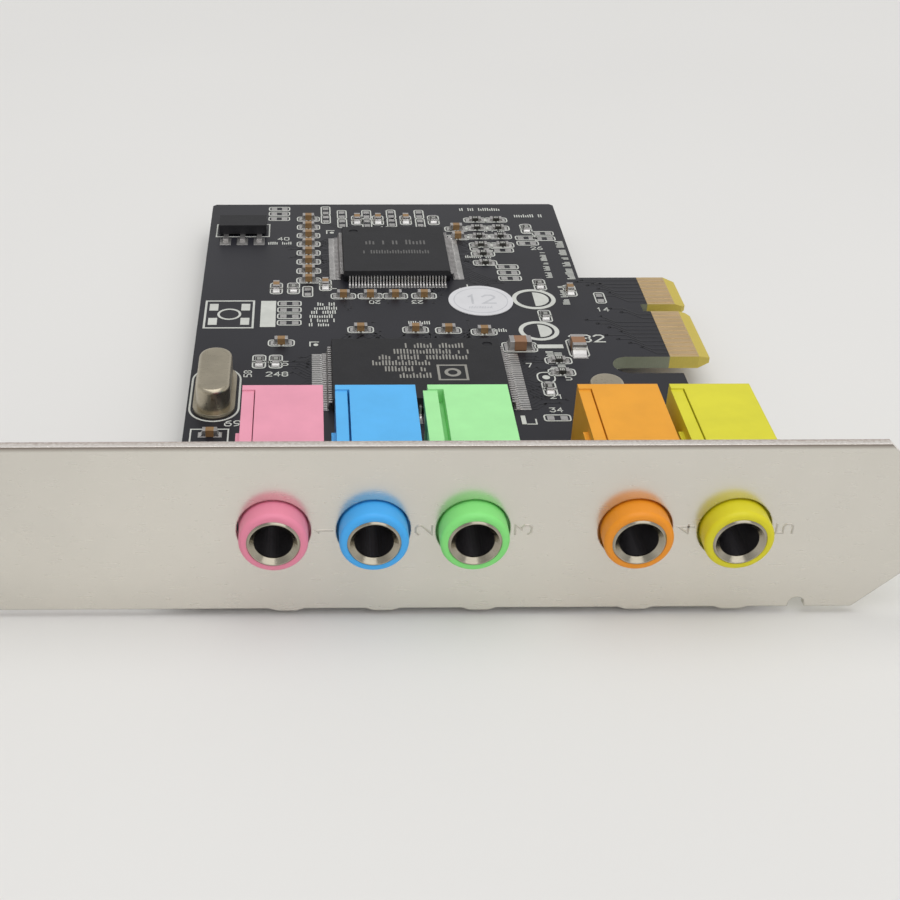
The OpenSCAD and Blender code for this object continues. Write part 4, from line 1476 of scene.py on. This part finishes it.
@dataclass
class BoardPrint:
    """The white print on the board: outlines of parts, plain numbers and spare footprints.

    Attributes:
        boxed: Middle of the part whose outline is a box of its own.
        same_part: How far apart two ends' guesses of their part's middle may lie.
        end_room: Room between a part's outline and its ends, and beside its long sides.
        ink_t: Thickness of the ink.
        line_w: Width of the print's lines.
    """

    card: Card
    boxed: Point = (-9.96, -13.44)
    same_part: float = 0.6
    end_room: Point = (0.75, 0.35)
    ink_t: float = 0.03
    line_w: float = 0.17

    def part_outlines(self, drawing: Relief) -> None:
        """Draws a rounded outline about each chip part."""
        parts: dict[Point, list[Land]] = {}
        for land in self.card.lands:
            middle = land.metal.centre.xy - land.way * 1.0
            gaps = {key: math.dist(key, middle) for key in parts}
            near = [key for key in parts if gaps[key] < self.same_part]
            key = min(near, key=gaps.get, default=(middle.x, middle.y))
            parts.setdefault(key, []).append(land)
        for middle, ends in parts.items():
            if math.dist(middle, self.boxed) < 1.0:
                continue
            room = self.end_room if ends[0].axis == 0 else self.end_room[::-1]
            low = tuple(min(end.metal.low[i] for end in ends) - room[i] for i in range(2))
            high = tuple(max(end.metal.high[i] for end in ends) + room[i] for i in range(2))
            drawing.frame(low, high, self.line_w, 0.4)

    def crystal_outlines(self, drawing: Relief) -> None:
        """Draws the oval outlines round both crystals."""
        for name in CRYSTALS:
            low, high = self.card.block(name + "_base").outline(0.4, 0.4)
            half, middle = (high[0] - low[0]) / 2, (low[0] + high[0]) / 2
            path = ring_points((middle, high[1] - half), half, 18, 0, 180)
            path += ring_points((middle, low[1] + half), half, 18, 180, 360)
            drawing.stroke(path, 0.22, closed=True)

    def spare_outlines(self, drawing: Relief) -> None:
        """Draws the outline of each spare place."""
        for spare in self.card.spares:
            half = (spare.reach + 0.7, 0.62)
            if spare.turn is Turn.UP:
                half = half[::-1]
            low = tuple(spare.centre[i] - half[i] for i in range(2))
            high = tuple(spare.centre[i] + half[i] for i in range(2))
            drawing.frame(low, high, self.line_w, 0.3)

    def spare_footprints(self, drawing: Relief) -> None:
        """Draws the larger bare places: one for a four-land part and two round ones."""
        drawing.frame((-12.1, 11.1), (-6.1, 18.3), 0.26)
        drawing.circle((-9.1, 14.7), 1.35, 0.3)
        for u in (-11.1, -7.1):
            for v in (11.9, 15.7):
                drawing.box((u - 0.55, v), (u + 0.55, v + 1.8))
        drawing.box((-5.2, 11.3), (-3.3, 18.3))
        for centre, radius in (((29.5, 18.6), 2.5), ((29.0, 10.1), 2.2)):
            drawing.circle(centre, radius, 0.55, 36)
            drawing.plate(ring_points(centre, radius - 0.6, 16, -90, 90))
        drawing.box((26.9, 5.7), (31.4, 6.6))
        drawing.frame((-12.1, -14.9), (-8.0, -12.3), self.line_w)
        drawing.frame((27.3, -2.4), (29.3, -0.1), self.line_w, 0.8)
        drawing.disc((28.3, -1.25), 0.45)
        drawing.box((24.25, -11.5), (24.75, -9.7))

    def chip_outlines(self, drawing: Relief) -> None:
        """Draws the corner marks round both chips, past their lands, and a dot at each first lead."""
        for chip, room in zip(CHIPS, (1.45, 1.0)):
            low, high = self.card.block(chip + "_leads").outline(room, room)
            for x, x_in in ((low[0], 1.0), (high[0], -1.0)):
                for y, y_in in ((low[1], 1.0), (high[1], -1.0)):
                    drawing.stroke([(x + x_in, y), (x, y), (x, y + y_in)], self.line_w)
            drawing.disc((low[0] + 0.7, high[1] - 0.7), 0.3)

    def writing(self, drawing: Relief) -> None:
        """Prints rows of small bars where the board has lines of fine print."""
        draw = random.Random(5)
        for rows, turn in ((ROWS_UP, Turn.UP), (ROWS_ALONG, Turn.ALONG)):
            for start, length, height in rows:
                drawing.row(start, length, height, draw, turn)

    def resistor_codes(self, ink: Material) -> None:
        """Prints a short code of bars on each chip resistor.

        Args:
            ink: The print's ink.
        """
        code = Relief("resistor_codes", self.card.lid("chip_resistors"), 0.012)
        for solid in solids_of(self.card.nodes["chip_resistors"]):
            step = Vector((0.2, 0)) if solid.size.x > solid.size.y else Vector((0, 0.2))
            half = Vector((step.y, step.x))
            for index in (-1, 0, 1):
                middle = solid.centre.xy + index * step
                code.stroke([tuple(middle - half), tuple(middle + half)], 0.09)
        code.finish(Slot.PRINT, ink)

    def under_print(self, ink: Material) -> None:
        """Prints an outline and a number at each jack's pins, on the underside.

        Args:
            ink: The print's ink.
        """
        under = Relief("under_print", self.card.plane(Face.BOARD_UNDER), self.ink_t)
        for index, shade in enumerate(JACKS):
            block = self.card.block(shade + "_jack_contacts")
            low = (block.low.x - 1.2, -block.high.y - 1.2)
            under.frame(low, (block.high.x + 1.2, -block.low.y + 1.2), self.line_w, 0.6)
            under.number(str(index + 1), (block.centre.x, low[1] - 1.6), 1.6)
        under.finish(Slot.PRINT, ink)

    def build(self, ink: Material) -> None:
        """Builds the print of both faces and of the resistors.

        Args:
            ink: The print's ink.
        """
        top = Relief("top_print", self.card.plane(Face.BOARD_TOP), self.ink_t)
        self.part_outlines(top)
        self.crystal_outlines(top)
        for text, centre, height, turn in PRINTED_NUMBERS:
            top.number(text, centre, height, turn)
        self.spare_outlines(top)
        self.spare_footprints(top)
        self.chip_outlines(top)
        top.frame(*self.card.block("regulator_body").outline(0.4, 0.3), self.line_w)
        self.writing(top)
        top.finish(Slot.PRINT, ink)
        self.resistor_codes(ink)
        self.under_print(ink)


@dataclass
class Markings:
    """Marks on the chips, the label and the bracket, all of them plain bars and numbers.

    Attributes:
        mark_t: Thickness of the marking.
        stamp_t: How far the stamped numbers stand off the bracket.
        stamp_gap: Distance from a hole's middle to its number's.
        near_rows: The near chip's rows: start along X, length and place along Y.
    """

    card: Card
    mark_t: float = 0.012
    stamp_t: float = 0.03
    stamp_gap: float = 4.65
    near_rows: tuple[Place, ...] = (
        (12.2, 7.6, 3.1), (10.8, 8.8, 1.7), (9.0, 10.4, 0.35),
        (8.2, 6.6, -1.0), (9.6, 4.8, -2.4), (11.2, 3.6, -3.9),
    )

    def chips(self, bright: Material, faint: Material) -> None:
        """Marks both chips with rows of bars.

        Args:
            bright: The near chip's ink.
            faint: The far chip's ink.
        """
        draw = random.Random(23)
        near = Relief("audio_chip_marks", self.card.lid("audio_chip_body"), self.mark_t)
        for start, length, y in self.near_rows:
            near.row((start, y), length, 0.95, draw)
        near.frame((15.6, -4.9), (18.8, -1.6), 0.28)
        near.circle((17.2, -3.25), 0.75, 0.4)
        near.finish(Slot.PRINT, bright)
        far = Relief("bridge_chip_marks", self.card.lid("bridge_chip_body"), self.mark_t)
        far.row((8.6, 32.6), 8.0, 1.2, draw)
        far.row((8.2, 29.6), 8.8, 0.9, draw)
        far.finish(Slot.PRINT, faint)

    def label(self, ink: Material) -> None:
        """Prints the label with a ring, a number and a row of bars.

        Args:
            ink: The label's ink.
        """
        block = self.card.block("round_label")
        x, y = block.centre.xy
        drawing = Relief("label_print", self.card.lid("round_label"), self.mark_t)
        drawing.circle((x, y), block.size.x / 2 - 0.7, 0.12, 48)
        drawing.number("12", (x, y + 0.3), 2.2)
        drawing.row((x - 1.6, y - 1.9), 3.0, 0.5, random.Random(3))
        drawing.finish(Slot.PRINT, ink)

    def stamps(self, steel: Material) -> None:
        """Stamps a plain number beside each jack's hole.

        Args:
            steel: The numbers' finish.
        """
        stamp = Relief("stamped_numbers", self.card.plane(Face.BRACKET), self.stamp_t)
        for index, shade in enumerate(JACKS):
            centre = self.card.block(shade + "_jack_bushing").centre
            stamp.number(str(index + 1), (centre.x + self.stamp_gap, centre.z), 1.5, Turn.UP, 0.12)
        stamp.finish(Slot.STEEL, steel)


@dataclass
class Studio:
    """The pale floor, the soft light and the camera.

    Attributes:
        eye: The camera's place.
        turn: Its turn to the right, in radians.
        tilt: Its tilt down, in radians.
        roll: Its roll, in radians.
        focal: Its focal length, in pixels of the frame.
        frame: The frame's side, in pixels.
        middle: Where its axis meets the frame, in pixels from the upper left corner.
        sensor: The camera's sensor width, in millimetres.
        floor_half: Half the floor's side, in metres.
        floor_drop: How far the floor lies under the bracket's feet, which stand just clear of it.
        paper: The floor's finish.
        sky: Strength of the sky's light at the horizon and overhead.
        backdrop: Brightness of the backdrop where it is seen or mirrored, at the same places.
        lamps: The lamps: name, place in metres, side in metres and power in watts.
    """

    eye: Place = (0.774, -145.215, 87.64)
    turn: float = 0.0133
    tilt: float = 0.5826
    roll: float = 0.0034
    focal: float = 1436.0
    frame: int = 900
    middle: Point = (324.9, 460.8)
    sensor: float = 36.0
    floor_half: float = 1.6
    floor_drop: float = 0.7
    paper: StudioPaper = StudioPaper("studio_paper", linear(228, 227, 225), 0.75)
    sky: Point = (0.24, 0.74)
    backdrop: Point = (0.86, 0.5)
    lamps: tuple[tuple[str, Place, float, float], ...] = (
        ("top_softbox", (0.02, -0.06, 0.95), 0.9, 3.9),
        ("front_softbox", (0.30, -0.75, 0.65), 0.8, 2.2),
    )

    def camera(self) -> None:
        """Places the camera at the photograph's view."""
        data = bpy.data.cameras.new("photo_camera")
        camera = bpy.data.objects.new("photo_camera", data)
        bpy.context.scene.collection.objects.link(camera)
        data.sensor_width = self.sensor
        data.lens = self.sensor * self.focal / self.frame
        data.shift_x = (self.frame / 2 - self.middle[0]) / self.frame
        data.shift_y = (self.middle[1] - self.frame / 2) / self.frame
        data.clip_start = 0.005
        data.clip_end = 20
        cos, sin = math.cos(self.tilt), math.sin(self.tilt)
        ahead = Vector((math.sin(self.turn) * cos, math.cos(self.turn) * cos, -sin))
        level = Vector((math.cos(self.turn), -math.sin(self.turn), 0))
        above = level.cross(ahead)
        right = math.cos(self.roll) * level + math.sin(self.roll) * above
        up = -math.sin(self.roll) * level + math.cos(self.roll) * above
        pose = Matrix((right, up, -ahead)).transposed().to_4x4()
        pose.translation = Vector(self.eye) * MM
        camera.matrix_world = pose
        bpy.context.scene.camera = camera

    def floor(self, effects: Effects) -> None:
        """Makes the pale floor.

        Args:
            effects: The shared effects.
        """
        half, low = self.floor_half, -self.floor_drop * MM
        mesh = bpy.data.meshes.new("studio_floor")
        corners = [(-half, -half, low), (half, -half, low), (half, half, low), (-half, half, low)]
        mesh.from_pydata(corners, [], [(0, 1, 2, 3)])
        mesh.materials.append(self.paper.build(effects))
        floor = bpy.data.objects.new("studio_floor", mesh)
        bpy.context.scene.collection.objects.link(floor)

    def light(self) -> None:
        """Sets the even sky and two large soft lamps: one overhead, one in front at the right."""
        world = bpy.data.worlds.new("studio_sky")
        bpy.context.scene.world = world
        world.use_nodes = True
        sketch = Sketch(world.node_tree)
        path = sketch.add("LightPath").outputs
        seen = sketch.math("MAXIMUM", path["Is Camera Ray"], path["Is Glossy Ray"])
        seen = sketch.math("MAXIMUM", seen, path["Is Transmission Ray"])
        height = sketch.split(sketch.add("TexCoord").outputs["Generated"])[2]
        unseen = sketch.span(height, 0.0, 1.0, *self.sky)
        shown = sketch.span(height, 0.0, 0.6, *self.backdrop)
        strength = sketch.add("Mix", {"data_type": "FLOAT"}, {0: seen, 2: unseen, 3: shown})
        background = world.node_tree.nodes["Background"]
        sketch.feed(background.inputs["Color"], (1.0, 0.995, 0.985))
        sketch.feed(background.inputs["Strength"], strength.outputs[0])
        for name, place, size, power in self.lamps:
            data = bpy.data.lights.new(name, "AREA")
            data.shape = "SQUARE"
            data.size = size
            data.energy = power
            lamp = bpy.data.objects.new(name, data)
            lamp.location = place
            lamp.rotation_euler = (-Vector(place)).to_track_quat("-Z", "Y").to_euler()
            bpy.context.scene.collection.objects.link(lamp)

    def build(self, effects: Effects) -> None:
        """Builds the studio.

        Args:
            effects: The shared effects.
        """
        self.camera()
        self.floor(effects)
        self.light()
        bpy.context.scene.view_settings.view_transform = "Standard"


def dress_nodes(nodes: dict[str, bpy.types.Object], effects: Effects) -> dict[str, Material]:
    """Gives every CAD node its finish.

    Args:
        nodes: The CAD nodes by name.
        effects: The shared effects.

    Returns:
        The materials by finish name.
    """
    made: dict[str, Material] = {}
    for finish, names in NODE_FINISHES.items():
        material = made[finish.name] = finish.build(effects)
        for name in names:
            for slot in nodes[name].material_slots:
                slot.material = material
            LOG.info("%s: %s", name, finish.name)
    bare = sorted(set(nodes) - {name for names in NODE_FINISHES.values() for name in names})
    if bare:
        raise ValueError(f"no finish for {bare}")
    return made


def main() -> None:
    """Dresses the card, part by part, and sets up its picture."""
    logging.basicConfig(level=logging.INFO, format="%(name)s %(message)s")
    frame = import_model()
    effects = Effects()
    Studio().build(effects)
    made = dress_nodes(frame["nodes"], effects)
    card = Card(frame["nodes"])
    card.measure()
    Copper(card).build(MASKED_COPPER.build(effects))
    SolderWork(card).build(made[SOLDER.name])
    BoardPrint(card).build(WHITE_INK.build(effects))
    markings = Markings(card)
    markings.chips(GREY_INK.build(effects), FAINT_INK.build(effects))
    markings.label(LABEL_INK.build(effects))
    markings.stamps(SHADED_STAMP_STEEL.build(effects))


if __name__ == "__main__":
    main()
